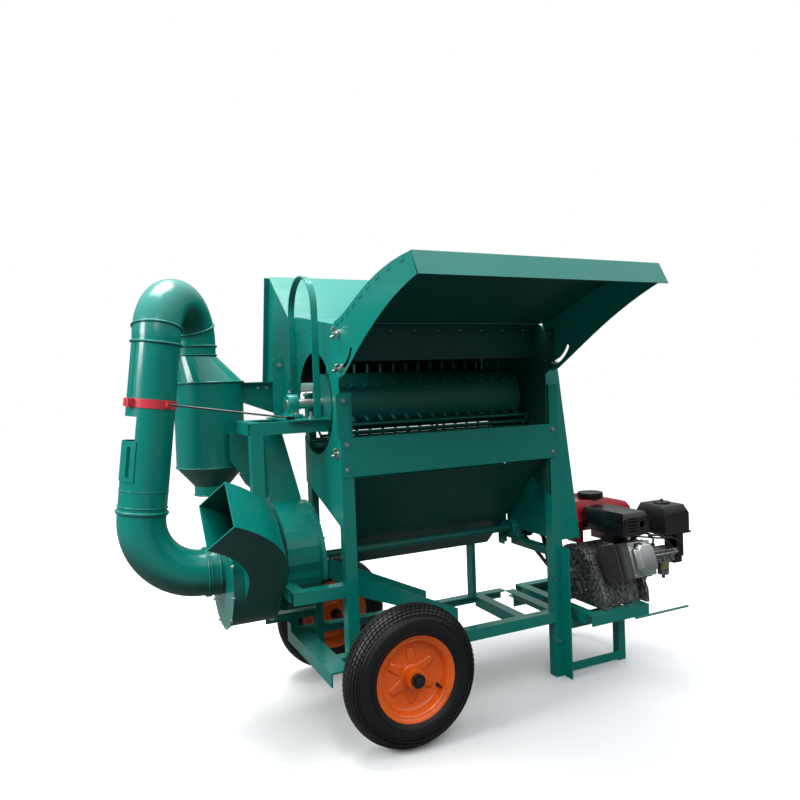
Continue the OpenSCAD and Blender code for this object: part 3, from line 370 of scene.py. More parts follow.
def finish_of(name, color, roughness, metallic=0.0, coat=0.0, worn=0.0, bare=(0.3, 0.3, 0.29),
              dusty=0.15, waves=None, bump=0.0, shade_spread=0.12, painted_shade_amount=0.0, painted_shade_lift=0.0):
    material = bpy.data.materials.new(name)
    material.use_nodes = True
    tree = material.node_tree
    shader = fill(tree.nodes["Principled BSDF"], {"Metallic": metallic, "Coat Weight": coat,
                                                  "Coat Roughness": COAT_ROUGHNESS})
    look = varied(tree, color, roughness, shade_spread)
    # Painted shade: where the underside mask says, the colour turns to a deeper copy of itself.
    if painted_shade_amount > 0:
        deep = tuple(c * DEEP_SHARE for c in color)
        look = overlay(tree, look, painted_shade, {"Amount": painted_shade_amount, "Lift": painted_shade_lift}, deep,
                       PAINTED_SHADE_ROUGHNESS)
    if worn > 0:
        look = overlay(tree, look, edge_wear, {"Amount": worn}, bare, BARE_ROUGHNESS)
    look = overlay(tree, look, dust, {"Amount": dusty}, DUST_TONE, DUST_ROUGHNESS)
    tree.links.new(look[0], shader.inputs["Base Color"])
    tree.links.new(look[1], shader.inputs["Roughness"])
    if bump > 0:
        relief = add(tree, "Group", node_tree=uneven if waves else grain)
        if waves:
            fill(relief, {"Waves": waves})
        lift = fill(add(tree, "Bump"), {"Strength": 1.0, "Distance": bump})
        tree.links.new(relief.outputs["Height"], lift.inputs["Height"])
        tree.links.new(lift.outputs["Normal"], shader.inputs["Normal"])
    return material


print("a deep underside keeps this share of its colour:", DEEP_SHARE)

# %% [markdown]
# Each enamel has a name, a colour and a roughness, and then what sets it apart. Green is the
# machine's own paint, orange is sprayed on the rims, and the engine comes in red and black.

# %% Enamels
GREEN, RUBBED_GREEN = (0.0, 0.215, 0.175), (0.04, 0.16, 0.13)
finishes = {
    # The green enamel carries painted shade on its undersides.
    "painted_green": finish_of("green enamel", GREEN, 0.24, coat=0.12, worn=0.35,
                               bare=RUBBED_GREEN, dusty=0.04, waves=5.0, bump=0.004, painted_shade_amount=0.85),
    "painted_orange": finish_of("orange enamel", (0.95, 0.13, 0.003), 0.24, coat=0.5, worn=0.25,
                                dusty=0.08, waves=6.0, bump=0.002),
    "painted_red": finish_of("dark red enamel", (0.4, 0.004, 0.012), 0.22, coat=0.6, worn=0.15,
                             dusty=0.08, waves=3.0, bump=0.001),
    "drum_steel": finish_of("drum enamel", (0.0, 0.13, 0.108), 0.45, worn=0.4,
                            bare=(0.08, 0.14, 0.13), dusty=0.04, bump=0.0003),
    "black_steel": finish_of("black enamel", (0.004, 0.004, 0.006), 0.22, coat=0.35, worn=0.25,
                             dusty=0.03, waves=3.0, bump=0.001),
    "red_band": finish_of("red band", (0.62, 0.04, 0.06), 0.4, dusty=0.1, bump=0.0001),
}
print("enamels:", len(finishes))

# %% [markdown]
# Bare metals have a high Metallic value, which makes the colour tint the reflections. Castings are
# duller than plated steel, and vary more from spot to spot.

# %% Metals
finishes.update({
    "bright_steel": finish_of("zinc-plated steel", (0.55, 0.55, 0.53), 0.35, metallic=1.0,
                              dusty=0.15, bump=0.0001),
    "cast_aluminium": finish_of("cast aluminium", (0.36, 0.37, 0.36), 0.38, metallic=0.7,
                                worn=0.5, bare=(0.6, 0.6, 0.6), dusty=0.25, bump=0.0012,
                                shade_spread=0.8),
    "dark_aluminium": finish_of("finned cylinder", (0.1, 0.105, 0.1), 0.55, metallic=0.6,
                                dusty=0.3, bump=0.0003, shade_spread=0.3),
    "bright_aluminium": finish_of("bright cover", (0.62, 0.66, 0.65), 0.28, metallic=1.0,
                                  dusty=0.1, bump=0.0001),
    "brass": finish_of("dull zinc bowl", (0.38, 0.33, 0.14), 0.3, metallic=0.8, dusty=0.15,
                       bump=0.0001),
})
print("with metals:", len(finishes))

# %% [markdown]
# Rubber is rough and nearly black. Moulded plastic is as dark, but smoother.

# %% Plastic and rubber
finishes.update({
    "black_plastic": finish_of("black plastic", (0.004, 0.004, 0.0045), 0.36, dusty=0.03,
                               bump=0.00015),
    "belt_rubber": finish_of("belt rubber", (0.018, 0.018, 0.02), 0.7, dusty=0.3, bump=0.0002),
    "tyre_rubber": finish_of("tyre rubber", (0.003, 0.003, 0.0035), 0.46, dusty=0.03,
                             bump=0.0003),
})
print("finishes:", len(finishes))

# %% [markdown]
# The engine's castings are speckled with oil and dirt in the photograph. A second, finer noise
# mixes a dull grey into the colour that the recipe has made.

# %% Speckled castings
DULL_GREY, SPECKLE_SCALE = (0.07, 0.075, 0.072, 1), 95.0
tree = finishes["cast_aluminium"].node_tree
fleck = ramp(tree, noise(tree, SPECKLE_SCALE, 9.0), 0.36, 0.66)
dull = fill(add(tree, "Mix", data_type="RGBA"), {"A": DULL_GREY})
enamel = tree.nodes["Principled BSDF"].inputs["Base Color"]
tree.links.new(enamel.links[0].from_socket, dull.inputs["B"])
tree.links.new(fleck, dull.inputs["Factor"])
tree.links.new(dull.outputs["Result"], enamel)
print("speckles to the metre:", SPECKLE_SCALE)

# %% [markdown]
# Every solid names its finish in the machine's record. A few look different from their kind: the
# cover's and the right wall's upright faces carry painted shade, the grate and the fan's shaft wear
# the drum's enamel, the axle is black and the carburettor is a casting.

# %% Paint the solids
# Green with painted shade that reaches the upright faces too, for the cover and the right wall.
shaded = finish_of("stained green", GREEN, 0.3, coat=0.1, worn=0.3, bare=RUBBED_GREEN,
                    dusty=0.04, waves=5.0, bump=0.003, painted_shade_amount=0.85, painted_shade_lift=0.6)
slot_of = {entry["node"]: entry["material_slot"] for entry in frame["record"]["subparts"]}
paint_of = {name: finishes[slot] for name, slot in slot_of.items()}
paint_of |= {"top_cover": shaded, "right_end_wall": shaded,
             "concave_grate": finishes["drum_steel"], "fan_shaft": finishes["drum_steel"],
             "axle": finishes["black_steel"], "carburettor": finishes["cast_aluminium"]}
for name, piece in nodes.items():
    piece.data.materials.clear()
    piece.data.materials.append(paint_of[name])
print("painted:", len(nodes))

# %% [markdown]
# Small parts are modelled at the origin, pointing up. An operator acts on all that is selected, so
# everything is deselected first. A finished piece has its modifiers applied and its place moved
# into its mesh, and then it is told which body of the machine it rides on.

# %% Choosing and settling a piece
SMOOTH_BELOW = 35


def fresh():
    if bpy.context.object and bpy.context.object.mode != "OBJECT":
        bpy.ops.object.mode_set(mode="OBJECT")
    bpy.ops.object.select_all(action="DESELECT")


def choose(piece):
    fresh()
    piece.select_set(True)
    bpy.context.view_layer.objects.active = piece


def freeze():
    bpy.ops.object.transform_apply(location=True, rotation=True, scale=True)


def settle(piece, name, finish, body="frame", smooth=SMOOTH_BELOW):
    choose(piece)
    for modifier in list(piece.modifiers):
        bpy.ops.object.modifier_apply(modifier=modifier.name)
    freeze()
    bpy.ops.object.shade_smooth_by_angle(angle=math.radians(smooth))
    piece.name = piece.data.name = name.replace(" ", "_")
    piece.data.materials.clear()
    piece.data.materials.append(finishes[finish])
    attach(piece, body)
    return piece


def bevel(piece, width, segments=2):
    modifier = piece.modifiers.new("bevel", "BEVEL")
    modifier.width = width
    modifier.segments = segments
    modifier.limit_method = "ANGLE"


print("faces are shaded smooth below, degrees:", SMOOTH_BELOW)

# %% [markdown]
# What repeats is modelled once. A copy with its own mesh is turned and moved to each place, and
# the copies of one kind are joined, so that the outliner stays short.

# %% Copies in many places
LEFT, RIGHT, FRONT, BACK, UP = (-1, 0, 0), (1, 0, 0), (0, -1, 0), (0, 1, 0), (0, 0, 1)


def clone(piece):
    copy = piece.copy()
    copy.data = piece.data.copy()
    bpy.context.scene.collection.objects.link(copy)
    return copy


def join(pieces):
    fresh()
    for piece in pieces:
        piece.select_set(True)
    bpy.context.view_layer.objects.active = pieces[0]
    bpy.ops.object.join()
    return bpy.context.object


def aimed(place, direction, turned=0.0):
    """The origin goes to place, the Z axis to direction, and the turn is about that axis."""
    aim = Vector(direction).to_track_quat("Z", "Y").to_matrix().to_4x4()
    return Matrix.Translation(place) @ aim @ Matrix.Rotation(turned, 4, "Z")


def spread(model, places, name):
    """Copies of model at each (place, direction, turn), joined into one piece."""
    copies = []
    for place, direction, turned in places:
        copy = clone(model)
        copy.matrix_world = aimed(place, direction, turned)
        choose(copy)
        freeze()
        copies.append(copy)
    print(name, "x", len(places))
    return settle(join(copies), name, "bright_steel")


print("a bolt that points left has its top at:", tuple(aimed((0, 0, 0), LEFT) @ Vector(UP)))

# %% [markdown]
# A hexagon bolt is a six-sided cylinder on a round washer, with the end of its thread in the
# middle. The head's rim is bevelled, as the real one is chamfered.

# %% Hexagon bolts
WASHER_THICK, HEAD_GAP, THREAD_LONG, THREAD_OUT = 0.0018, 0.0015, 0.005, 0.003
WASHER_SHARE, THREAD_SHARE = 0.68, 0.27


def post(sides, radius, long, middle):
    """A cylinder that stands on the Z axis, with its middle at the given height."""
    bpy.ops.mesh.primitive_cylinder_add(vertices=sides, radius=radius, depth=long,
                                        location=(0, 0, middle))
    return bpy.context.object


def round_off(piece, width, segments=2):
    """Bevel the piece that has just been made, and apply the bevel."""
    bevel(piece, width, segments)
    bpy.ops.object.modifier_apply(modifier="bevel")


def hex_bolt(across, height):
    fresh()
    head = post(6, across / 2, height, height / 2 + HEAD_GAP)
    round_off(head, 0.0008)
    washer = post(24, across * WASHER_SHARE, WASHER_THICK, WASHER_THICK / 2)
    return join([head, washer, post(16, across * THREAD_SHARE, THREAD_LONG, height + THREAD_OUT)])


m8_bolt = hex_bolt(0.012, 0.005)
m6_bolt = hex_bolt(0.010, 0.004)
print("faces of a bolt:", len(m8_bolt.data.polygons))

# %% [markdown]
# A wing nut is a short cone with two leaning ears, on a stud. It is turned by hand, so the hood
# can be set without a spanner. A rivet's head is the upper half of a sphere.

# %% Wing nut and rivet
EAR_SIZE, EAR_LEAN, EAR_PLACE = (0.013, 0.003, 0.015), 0.5, (0.012, 0, 0.013)
RIVET_RADIUS = 0.0035


def wing_nut():
    fresh()
    bpy.ops.mesh.primitive_cone_add(vertices=20, radius1=0.009, radius2=0.006, depth=0.01,
                                    location=(0, 0, 0.005))
    parts = [bpy.context.object]
    for side in (-1, 1):
        bpy.ops.mesh.primitive_cube_add(size=1, location=(side * EAR_PLACE[0], *EAR_PLACE[1:]))
        ear = bpy.context.object
        ear.scale = EAR_SIZE
        ear.rotation_euler = (0, side * EAR_LEAN, 0)
        round_off(ear, 0.0012)
        parts.append(ear)
    return join(parts + [post(16, 0.004, 0.018, 0.009)])


def rivet():
    fresh()
    bpy.ops.mesh.primitive_uv_sphere_add(segments=16, ring_count=8, radius=RIVET_RADIUS)
    head = bpy.context.object
    bpy.ops.object.mode_set(mode="EDIT")
    bpy.ops.mesh.select_all(action="SELECT")
    bpy.ops.mesh.bisect(plane_co=(0, 0, 0), plane_no=UP, clear_inner=True, use_fill=True)
    bpy.ops.object.mode_set(mode="OBJECT")
    return head


wing, round_head = wing_nut(), rivet()
print("faces of a wing nut and a rivet:", len(wing.data.polygons), len(round_head.data.polygons))

# %% [markdown]
# Sheet ducts are stiffened by beads, rings pressed into the metal. A torus on the pipe's surface
# does the same here. The suction pipe leans, so its rings are placed along its own axis, and the
# arch above it is half a circle between the pipe's end and the cyclone.

# %% Beads of the air path
PIPE_R, PIPE_LONG, LEAN = 0.069, 0.52, math.radians(7)
FAN_Y, FAN_Z = 270, 462
CYCLONE_X, CYCLONE_Y, COLLAR_X = -284, 470, -325
ARCH_BEAD, ARCH_BEAD_PROUD = 0.0042, 0.0005
INLET_BEAD, INLET_BEAD_PROUD = 0.003, 0.0036

foot = at(-526.7, FAN_Y, 652.7)
along = Vector((math.sin(LEAN), 0, math.cos(LEAN)))
arch_start = foot + along * PIPE_LONG
arch_end = at(COLLAR_X, CYCLONE_Y, 1168.8)
arch_middle = (arch_start + arch_end) / 2
arch_radius = (arch_end - arch_start).length / 2
span = (arch_end - arch_start).normalized()


def ring(place, direction, radius, thickness, name):
    fresh()
    bpy.ops.mesh.primitive_torus_add(major_radius=radius, minor_radius=thickness,
                                     major_segments=72, minor_segments=14)
    bpy.context.object.matrix_world = aimed(place, direction)
    return settle(bpy.context.object, name, "painted_green", smooth=60)


for index, degrees in enumerate((15, 158)):
    angle = math.radians(degrees)
    spot = arch_middle + (span * -math.cos(angle) + Vector(UP) * math.sin(angle)) * arch_radius
    tangent = span * math.sin(angle) + Vector(UP) * math.cos(angle)
    ring(spot, tangent, PIPE_R + ARCH_BEAD_PROUD, ARCH_BEAD, f"arch bead {index}")
for index, x in enumerate((-352, -344, -318)):
    ring(at(x, FAN_Y, FAN_Z), RIGHT, PIPE_R + INLET_BEAD_PROUD, INLET_BEAD, f"inlet bead {index}")
for name, x, z, radius, thickness in (("cyclone upper bead", CYCLONE_X, 1036, 0.1135, 0.0035),
                                      ("cyclone lower bead", CYCLONE_X, 762, 0.1115, 0.003),
                                      ("cyclone mouth bead", CYCLONE_X, 669, 0.0575, 0.0028),
                                      ("collar bead", COLLAR_X, 1126, 0.0705, 0.003)):
    ring(at(x, CYCLONE_Y, z), UP, radius, thickness, name)
for name, up_pipe, proud, thickness in (("foot bead", 0.013, 0.0015, 0.0048),
                                        ("foot groove", 0.028, 0.0005, 0.0022),
                                        ("sleeve edge", 0.075, 0.0002, 0.0014)):
    ring(foot + along * up_pipe, along, PIPE_R + proud, thickness, name)
print("arch radius, mm:", round(arch_radius * 1000, 1))

# %% [markdown]
# A pipe that is rolled from sheet shows the seam where its edges are hooked together. It is a thin
# bar that lies along the pipe, on the side that faces the camera.

# %% The pipe's lock seam
SEAM_TURN, SEAM_FROM, SEAM_TO = math.radians(207.6), 0.345, 0.5
SEAM_THICK, SEAM_WIDE, SEAM_PROUD = 0.0016, 0.007, 0.0004

fresh()
bpy.ops.mesh.primitive_cube_add(size=1)
seam = bpy.context.object
bevel(seam, 0.0005)
outward = Vector((math.cos(SEAM_TURN) * math.cos(LEAN), math.sin(SEAM_TURN),
                  -math.cos(SEAM_TURN) * math.sin(LEAN)))
centre = foot + along * (SEAM_FROM + SEAM_TO) / 2 + outward * (PIPE_R + SEAM_PROUD)
seam_size = Matrix.Diagonal((SEAM_THICK, SEAM_WIDE, SEAM_TO - SEAM_FROM, 1))
seam.matrix_world = (Matrix.Translation(centre) @ axes(outward, along.cross(outward), along)
                     @ seam_size)
settle(seam, "pipe lock seam", "painted_green")
print("seam, mm:", round((SEAM_TO - SEAM_FROM) * 1000))

# %% [markdown]
# The fan's rim and the lift duct's flange are closed by rings of small bolts about the fan's
# axis. Each ring is a short loop over angles.

# %% Bolt rings of the fans
FAN_FACE_X, FAN_BOLT_R = -306.2, 173
FLANGE_X, FLANGE_BOLT_R = -26, 178


def fan_spot(x, radius, degrees):
    angle = math.radians(degrees)
    return at(x, FAN_Y + radius * math.cos(angle), FAN_Z + radius * math.sin(angle))


fan_bolts = [(fan_spot(FAN_FACE_X, FAN_BOLT_R, degrees), LEFT, math.radians(degrees))
             for degrees in range(15, 360, 30)]
spread(m6_bolt, fan_bolts, "fan rim bolts")
flange_bolts = [(fan_spot(FLANGE_X, FLANGE_BOLT_R, degrees), RIGHT, 0.3)
                for degrees in range(10, 175, 20)]
spread(m6_bolt, flange_bolts, "lift fan flange bolts")

# %% [markdown]
# Other bolts hold the walls, the apron, the belt guard, the hopper and the cyclone's arm. Each set
# lies on one face of the machine, so it is told by that face's place, and the sets are not all
# turned alike, as on a real machine.

# %% Bolts on the sheet parts
wall_bolts = [(at(-3, 312, z), LEFT, 0.2) for z in (905, 985)]
spread(m8_bolt, wall_bolts, "left wall bolts")
apron_bolts = [(at(x, -3.2, 765), FRONT, 0.1) for x in (14, 752)]
spread(m8_bolt, apron_bolts, "apron lower bolts")
guard_bolts = [(at(858, y, z), RIGHT, 0.5) for y, z in ((110, 1040), (290, 1040), (60, 500),
                                                       (300, 500), (90, 780), (310, 780))]
spread(m6_bolt, guard_bolts, "belt guard bolts")
hopper_bolts = [(at(x, 403.5, z), BACK, 0.2) for x in (-10, 741) for z in (1030, 1120, 1210)]
spread(m6_bolt, hopper_bolts, "hopper bolts")
arm_bolts = [(at(x, 466, 1012), FRONT, 0.2) for x in (-118, -88)]
spread(m8_bolt, arm_bolts, "cyclone arm bolts")

# %% [markdown]
# A row of rivets holds the cover's front edge under the hood. Wing nuts stand beside the hood, at
# its pivots and in its curved slots, and one more holds the plate over the left wall's window.

# %% Rivets under the hood and wing nuts beside it
RIVET_FROM, RIVET_STEP = 34, 82
NUT_LEFT, NUT_RIGHT = -14.3, 745.3
rivets = [(at(RIVET_FROM + RIVET_STEP * step, 60, 1176), FRONT, 0) for step in range(9)]
spread(round_head, rivets, "cover rivets")
wings = [(at(NUT_LEFT, -38.7, 1060.4), LEFT, 0.6), (at(NUT_RIGHT, -38.7, 1060.4), RIGHT, 0.2),
         (at(NUT_LEFT, -30, 1160), LEFT, 1.2), (at(NUT_RIGHT, -30, 1160), RIGHT, 1.0)]
spread(wing, wings, "hood wing nuts")
spread(wing, [(at(-3.2, 24, 815), LEFT, 0.9)], "window wing nut")

# %% [markdown]
# The cover's front edge is a strip that is bent down a little under the hood. It could be folded
# out of the cover's own sheet, but the solid stays as it is, so a thin tilted slab with fine
# bevels is laid on it.

# %% Lip between cover and hood
LIP_SIZE, LIP_TILT = (0.7304, 0.05, 0.0015), -0.13
fresh()
bpy.ops.mesh.primitive_cube_add(size=1, location=at(365.5, 41, 1190.2), rotation=(LIP_TILT, 0, 0))
cover_lip = bpy.context.object
cover_lip.scale = LIP_SIZE
freeze()
bpy.ops.object.mode_set(mode="EDIT")
bpy.ops.mesh.select_all(action="SELECT")
bpy.ops.mesh.subdivide(number_cuts=3)
bpy.ops.object.mode_set(mode="OBJECT")
bevel(cover_lip, 0.0005)
settle(cover_lip, "cover front lip", "painted_green")
# The lip carries the same green with painted shade on its upright faces as the cover.
cover_lip.data.materials[0] = shaded
print("lip, mm:", [round(size * 1000, 1) for size in cover_lip.dimensions])

# %% [markdown]
# The hood's sheet is fixed to its side plates by tabs that are folded down over the curved edge.
# The curve is a Bezier with four points, the same as the plate's own edge, and a thin bevelled tab
# stands every few centimetres along it.

# %% Folded tabs of the hood
HOOD_EDGE = [(10, 1193), (-110, 1205), (-230, 1300), (-493, 1306)]
TAB_SIZE, TAB_DROP = (0.024, 0.012, 0.0016), 6
TABS_A_SIDE, TAB_FIRST, TAB_STEP, NEARBY = 9, 0.08, 0.108, 0.01


def bezier(points, s):
    r = 1 - s
    weights = (r ** 3, 3 * r * r * s, 3 * r * s * s, s ** 3)
    return [sum(w * p[axis] for w, p in zip(weights, points)) for axis in (0, 1)]


fresh()
bpy.ops.mesh.primitive_cube_add(size=1)
tab = bpy.context.object
tab.scale = TAB_SIZE
round_off(tab, 0.0006)
freeze()
tabs = []
for x in (-6.8, 737.8):
    for step in range(TABS_A_SIDE):
        s = TAB_FIRST + step * TAB_STEP
        (y0, z0), (y1, z1) = bezier(HOOD_EDGE, s - NEARBY), bezier(HOOD_EDGE, s + NEARBY)
        slope = math.atan2(z1 - z0, y1 - y0)
        lengthwise = Vector((0, math.cos(slope), math.sin(slope)))
        off_edge = Vector((0, -math.sin(slope), math.cos(slope)))
        copy = clone(tab)
        copy.matrix_world = (Matrix.Translation(at(x, (y0 + y1) / 2, (z0 + z1) / 2 - TAB_DROP))
                             @ axes(lengthwise, off_edge, Vector(RIGHT)))
        tabs.append(copy)
settle(join(tabs), "hood tabs", "painted_green", "hood")
print("hood tabs:", len(tabs))

# %% [markdown]
# A wheel's parts are all round, so each is turned from a profile: one vertex is extruded along the
# outline, and the outline is spun about the axle. The seam and the poles are closed by merging
# doubles, and the normals are made to point outwards.

# %% Turning a profile about an axis
START_SIZE, MERGE_WITHIN = 0.002, 0.00002


def lathe(profile, place, axis, steps, name):
    """A profile of (radius, distance along the axis) in mm, spun about the axis through place."""
    axis = Vector(axis).normalized()
    side = axis.orthogonal().normalized()
    spots = [Vector(place) + side * (r / 1000) + axis * (h / 1000) for r, h in profile]
    fresh()
    bpy.ops.mesh.primitive_plane_add(size=START_SIZE, location=spots[0])
    piece = bpy.context.object
    piece.name = name
    freeze()
    bpy.ops.object.mode_set(mode="EDIT")
    bpy.ops.mesh.select_mode(type="VERT")
    bpy.ops.mesh.select_all(action="SELECT")
    bpy.ops.mesh.merge(type="CENTER")
    for here, there in zip(spots, spots[1:]):
        bpy.ops.mesh.extrude_region_move(TRANSFORM_OT_translate={"value": there - here})
    bpy.ops.mesh.select_all(action="SELECT")
    bpy.ops.mesh.spin(steps=steps, angle=math.tau, center=place, axis=axis)
    bpy.ops.mesh.select_all(action="SELECT")
    bpy.ops.mesh.remove_doubles(threshold=MERGE_WITHIN)
    bpy.ops.mesh.normals_make_consistent(inside=False)
    bpy.ops.object.mode_set(mode="OBJECT")
    return piece


def arc(cx, cy, r, start, stop, count):
    turns = [math.radians(start + (stop - start) * i / count) for i in range(count + 1)]
    return [(cx + r * math.cos(a), cy + r * math.sin(a)) for a in turns]


print("points of a quarter arc:", len(arc(0, 0, 1, 0, 90, 8)))

# %% [markdown]
# The tyre is turned in three stretches: a side wall, the crown that will carry the tread, and the
# other side wall. The crown is cut into a whole number of columns round the wheel.

# %% The tyre's body
WHEEL_X, NEAR_Y, FAR_Y, AXLE_Z = 120, -155, 485, 200
TYRE_R, SECTION_R, BLOCK = 200, 50, 3.2
TREAD_HALF, TREAD_ROWS, COLUMNS = 56, 10, 84
MID_R = TYRE_R - SECTION_R
BEAD = (121.5, 34.2)

hub = at(WHEEL_X, NEAR_Y, AXLE_Z)
crown = arc(MID_R, 0, SECTION_R - BLOCK, TREAD_HALF, -TREAD_HALF, TREAD_ROWS)
wall = [BEAD] + arc(MID_R, 0, SECTION_R - 0.5, 128, 62, 7)
tyre = lathe(wall + crown + [(r, -h) for r, h in reversed(wall)], hub, FRONT, COLUMNS, "near tyre")
print("tyre faces before the tread:", len(tyre.data.polygons))

# %% [markdown]
# Tread blocks slant to a V. Each row of the crown's points is turned a little about the axle,
# more so far from the middle. The faces between them are then inset one by one and lifted, which
# leaves rows of blocks.

# %% Tread blocks
ROW_WITHIN, TURN_A_DEGREE, GROOVE = 1.0, 0.11, 0.0013


def tread_angle(point):
    """Degrees from the tread's middle, about the centre of the tyre's section."""
    spot = (point - hub) * 1000
    return math.degrees(math.atan2(spot.y, math.hypot(spot.x, spot.z) - MID_R))


def pick(items, wanted):
    for item in items:
        item.select = wanted(item)


choose(tyre)
for row in range(TREAD_ROWS + 1):
    slant = TREAD_HALF - 2 * TREAD_HALF * row / TREAD_ROWS
    if abs(slant) < ROW_WITHIN:
        continue
    pick(tyre.data.polygons, lambda polygon: False)
    pick(tyre.data.edges, lambda line: False)
    pick(tyre.data.vertices, lambda vertex: abs(tread_angle(vertex.co) - slant) < ROW_WITHIN)
    bpy.ops.object.mode_set(mode="EDIT")
    bpy.ops.transform.rotate(value=math.radians(abs(slant) * TURN_A_DEGREE), orient_axis="Y",
                             center_override=hub)
    bpy.ops.object.mode_set(mode="OBJECT")
pick(tyre.data.polygons, lambda polygon: abs(tread_angle(polygon.center)) < TREAD_HALF - 1)
bpy.ops.object.mode_set(mode="EDIT")
bpy.ops.mesh.select_mode(type="FACE")
bpy.ops.mesh.inset(thickness=GROOVE, depth=BLOCK / 1000, use_individual=True)
bpy.ops.object.mode_set(mode="OBJECT")
print("tyre faces with the tread:", len(tyre.data.polygons))

# %% [markdown]
# Thin moulded lines run round both side walls. The far wheel is the near one's twin, so its tyre is
# a copy, moved across. Both stand in for the plain solid tyres.

# %% Side wall lines and the far tyre
WALL_LINES = ((176, 45.2), (165, 49.6), (134, 48.0))
LINE_THICK, WHEEL_SMOOTH = 0.0013, 40

for line_r, line_y in WALL_LINES:
    for side in (-1, 1):
        bpy.ops.mesh.primitive_torus_add(
            major_radius=line_r / 1000, minor_radius=LINE_THICK, major_segments=72,
            minor_segments=8, location=hub + Vector((0, side * line_y / 1000, 0)),
            rotation=(math.pi / 2, 0, 0))
        tyre = join([tyre, bpy.context.object])


def to_far_side(piece, name, finish):
    copy = clone(piece)
    copy.parent = None
    copy.location = (0, (FAR_Y - NEAR_Y) / 1000, 0)
    return settle(copy, name, finish, "far_wheel", WHEEL_SMOOTH)


settle(tyre, "near tyre with tread", "tyre_rubber", "near_wheel", WHEEL_SMOOTH)
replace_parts(tyre, "near_tyre")
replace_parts(to_far_side(tyre, "far tyre with tread", "tyre_rubber"), "far_tyre")
print("tyre faces:", len(tyre.data.polygons))

# %% [markdown]
# The rim is pressed from sheet: a rolled edge, a step and a shallow dish around the hub tube. Its
# front and back outlines are turned as one closed profile.

# %% The rim's body
DISH_FRONT = arc(121, 36.5, 3, -60, 120, 6) + [
    (113, 36.6), (110, 33.5), (105, 32), (101, 27), (99, 20), (96, 11), (93, 8.5), (84, 5), (70, 2),
    (52, 4), (40, 8.5), (31, 11), (28, 15), (28, 42), (12.9, 42)]
DISH_BACK = [
    (12.9, -42), (28, -42), (28, 5), (40, 4), (52, 0), (70, -2.5), (84, 1), (92, 2), (96, -24),
    (101, -36.5), (121, -39.5), (122, -34), (106, -33), (100, -20), (100, 20), (106, 33),
    (121, 33.6)]
rim = lathe(DISH_FRONT + DISH_BACK + DISH_FRONT[:1], hub, FRONT, 72, "near rim")
print("rim faces:", len(rim.data.polygons))

# %% [markdown]
# Six wedge-shaped ribs stiffen the dish. One is a cube whose upper outer edge is drawn narrower
# and lower, with wide bevels. Its copies stand round the hub and are joined to the rim.

# %% Pressed ribs
RIB_SIZE, RIB_NARROWS, RIB_SHIFT = (0.048, 0.034, 0.011), (1, 0.35, 1), (-0.004, 0, -0.002)
RIBS, RIB_OUT, RIB_PROUD = 6, 0.056, 0.0055

fresh()
bpy.ops.mesh.primitive_cube_add(size=1)
rib = bpy.context.object
rib.scale = RIB_SIZE
freeze()
corners = rib.data.vertices
pick(corners, lambda vertex: vertex.co.x > 0 and vertex.co.z > 0)
for items in (rib.data.edges, rib.data.polygons):
    pick(items, lambda item: all(corners[i].select for i in item.vertices))
bpy.ops.object.mode_set(mode="EDIT")
bpy.ops.transform.resize(value=RIB_NARROWS)
bpy.ops.transform.translate(value=RIB_SHIFT)
bpy.ops.object.mode_set(mode="OBJECT")
round_off(rib, 0.0035, 3)
ribs = []
for step in range(RIBS):
    angle = math.radians(30 + 60 * step)
    radial = Vector((math.cos(angle), 0, math.sin(angle)))
    copy = clone(rib)
    spot = hub + radial * RIB_OUT + Vector(FRONT) * RIB_PROUD
    copy.matrix_world = (Matrix.Translation(spot)
                         @ axes(radial, Vector(FRONT).cross(radial), Vector(FRONT)))
    ribs.append(copy)
bpy.data.objects.remove(rib)
rim = settle(join([rim] + ribs), "near rim with ribs", "painted_orange", "near_wheel", WHEEL_SMOOTH)
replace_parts(rim, "near_rim")
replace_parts(to_far_side(rim, "far rim with ribs", "painted_orange"), "far_rim")
print("ribs on a rim:", len(ribs))

# %% [markdown]
# The valve stem is turned from a short profile and stands in the rim's step. The axle's two ends
# show as small black discs in the hubs. They don't turn with the wheels, so they ride on the frame.

# %% Valve stems and axle ends
VALVE_TURN, VALVE_OUT, VALVE_PROUD = math.radians(-28), 0.09, 0.005
STEM = [(0, 0), (5, 0), (5, 6), (3.6, 8), (3.6, 20), (2.6, 21), (2.6, 27), (0, 27)]
END_R, END_THICK, END_FROM_HUB = 0.0095, 0.003, 62

valve_side = Vector((math.cos(VALVE_TURN), 0, math.sin(VALVE_TURN)))
stem = lathe(STEM, hub + valve_side * VALVE_OUT + Vector(FRONT) * VALVE_PROUD, FRONT, 20, "stem")
settle(stem, "near valve stem", "black_plastic", "near_wheel")
to_far_side(stem, "far valve stem", "black_plastic")
for y, direction in ((NEAR_Y - END_FROM_HUB, FRONT), (FAR_Y + END_FROM_HUB, BACK)):
    fresh()
    bpy.ops.mesh.primitive_cylinder_add(vertices=24, radius=END_R, depth=END_THICK,
                                        location=at(WHEEL_X, y, AXLE_Z),
                                        rotation=(math.pi / 2, 0, 0))
    disc = bpy.context.object
    bevel(disc, 0.001)
    settle(disc, f"axle end {direction[1]}", "black_steel")
print("stem length, mm:", STEM[-1][1])

# %% [markdown]
# The engine's covers are pressed or moulded, so none of their edges is sharp. A Weld modifier joins
# the solid's faces and a Bevel modifier rounds them, which leaves the solids themselves as they
# are.

# %% Rounded covers
WELD_WITHIN = 0.00005
ROUNDING = {"muffler": 0.006, "air_cleaner": 0.006, "fuel_tank": 0.008, "fuel_cap": 0.003,
            "recoil_starter": 0.006, "crankcase": 0.004, "bearing_blocks": 0.0015}

for name, width in ROUNDING.items():
    piece = nodes[name]
    weld = piece.modifiers.new("weld", "WELD")
    weld.merge_threshold = WELD_WITHIN
    bevel(piece, width, 3)
    piece.modifiers["bevel"].angle_limit = math.radians(32)
    choose(piece)
    bpy.ops.object.shade_smooth_by_angle(angle=math.radians(38))
print("rounded:", ", ".join(ROUNDING))

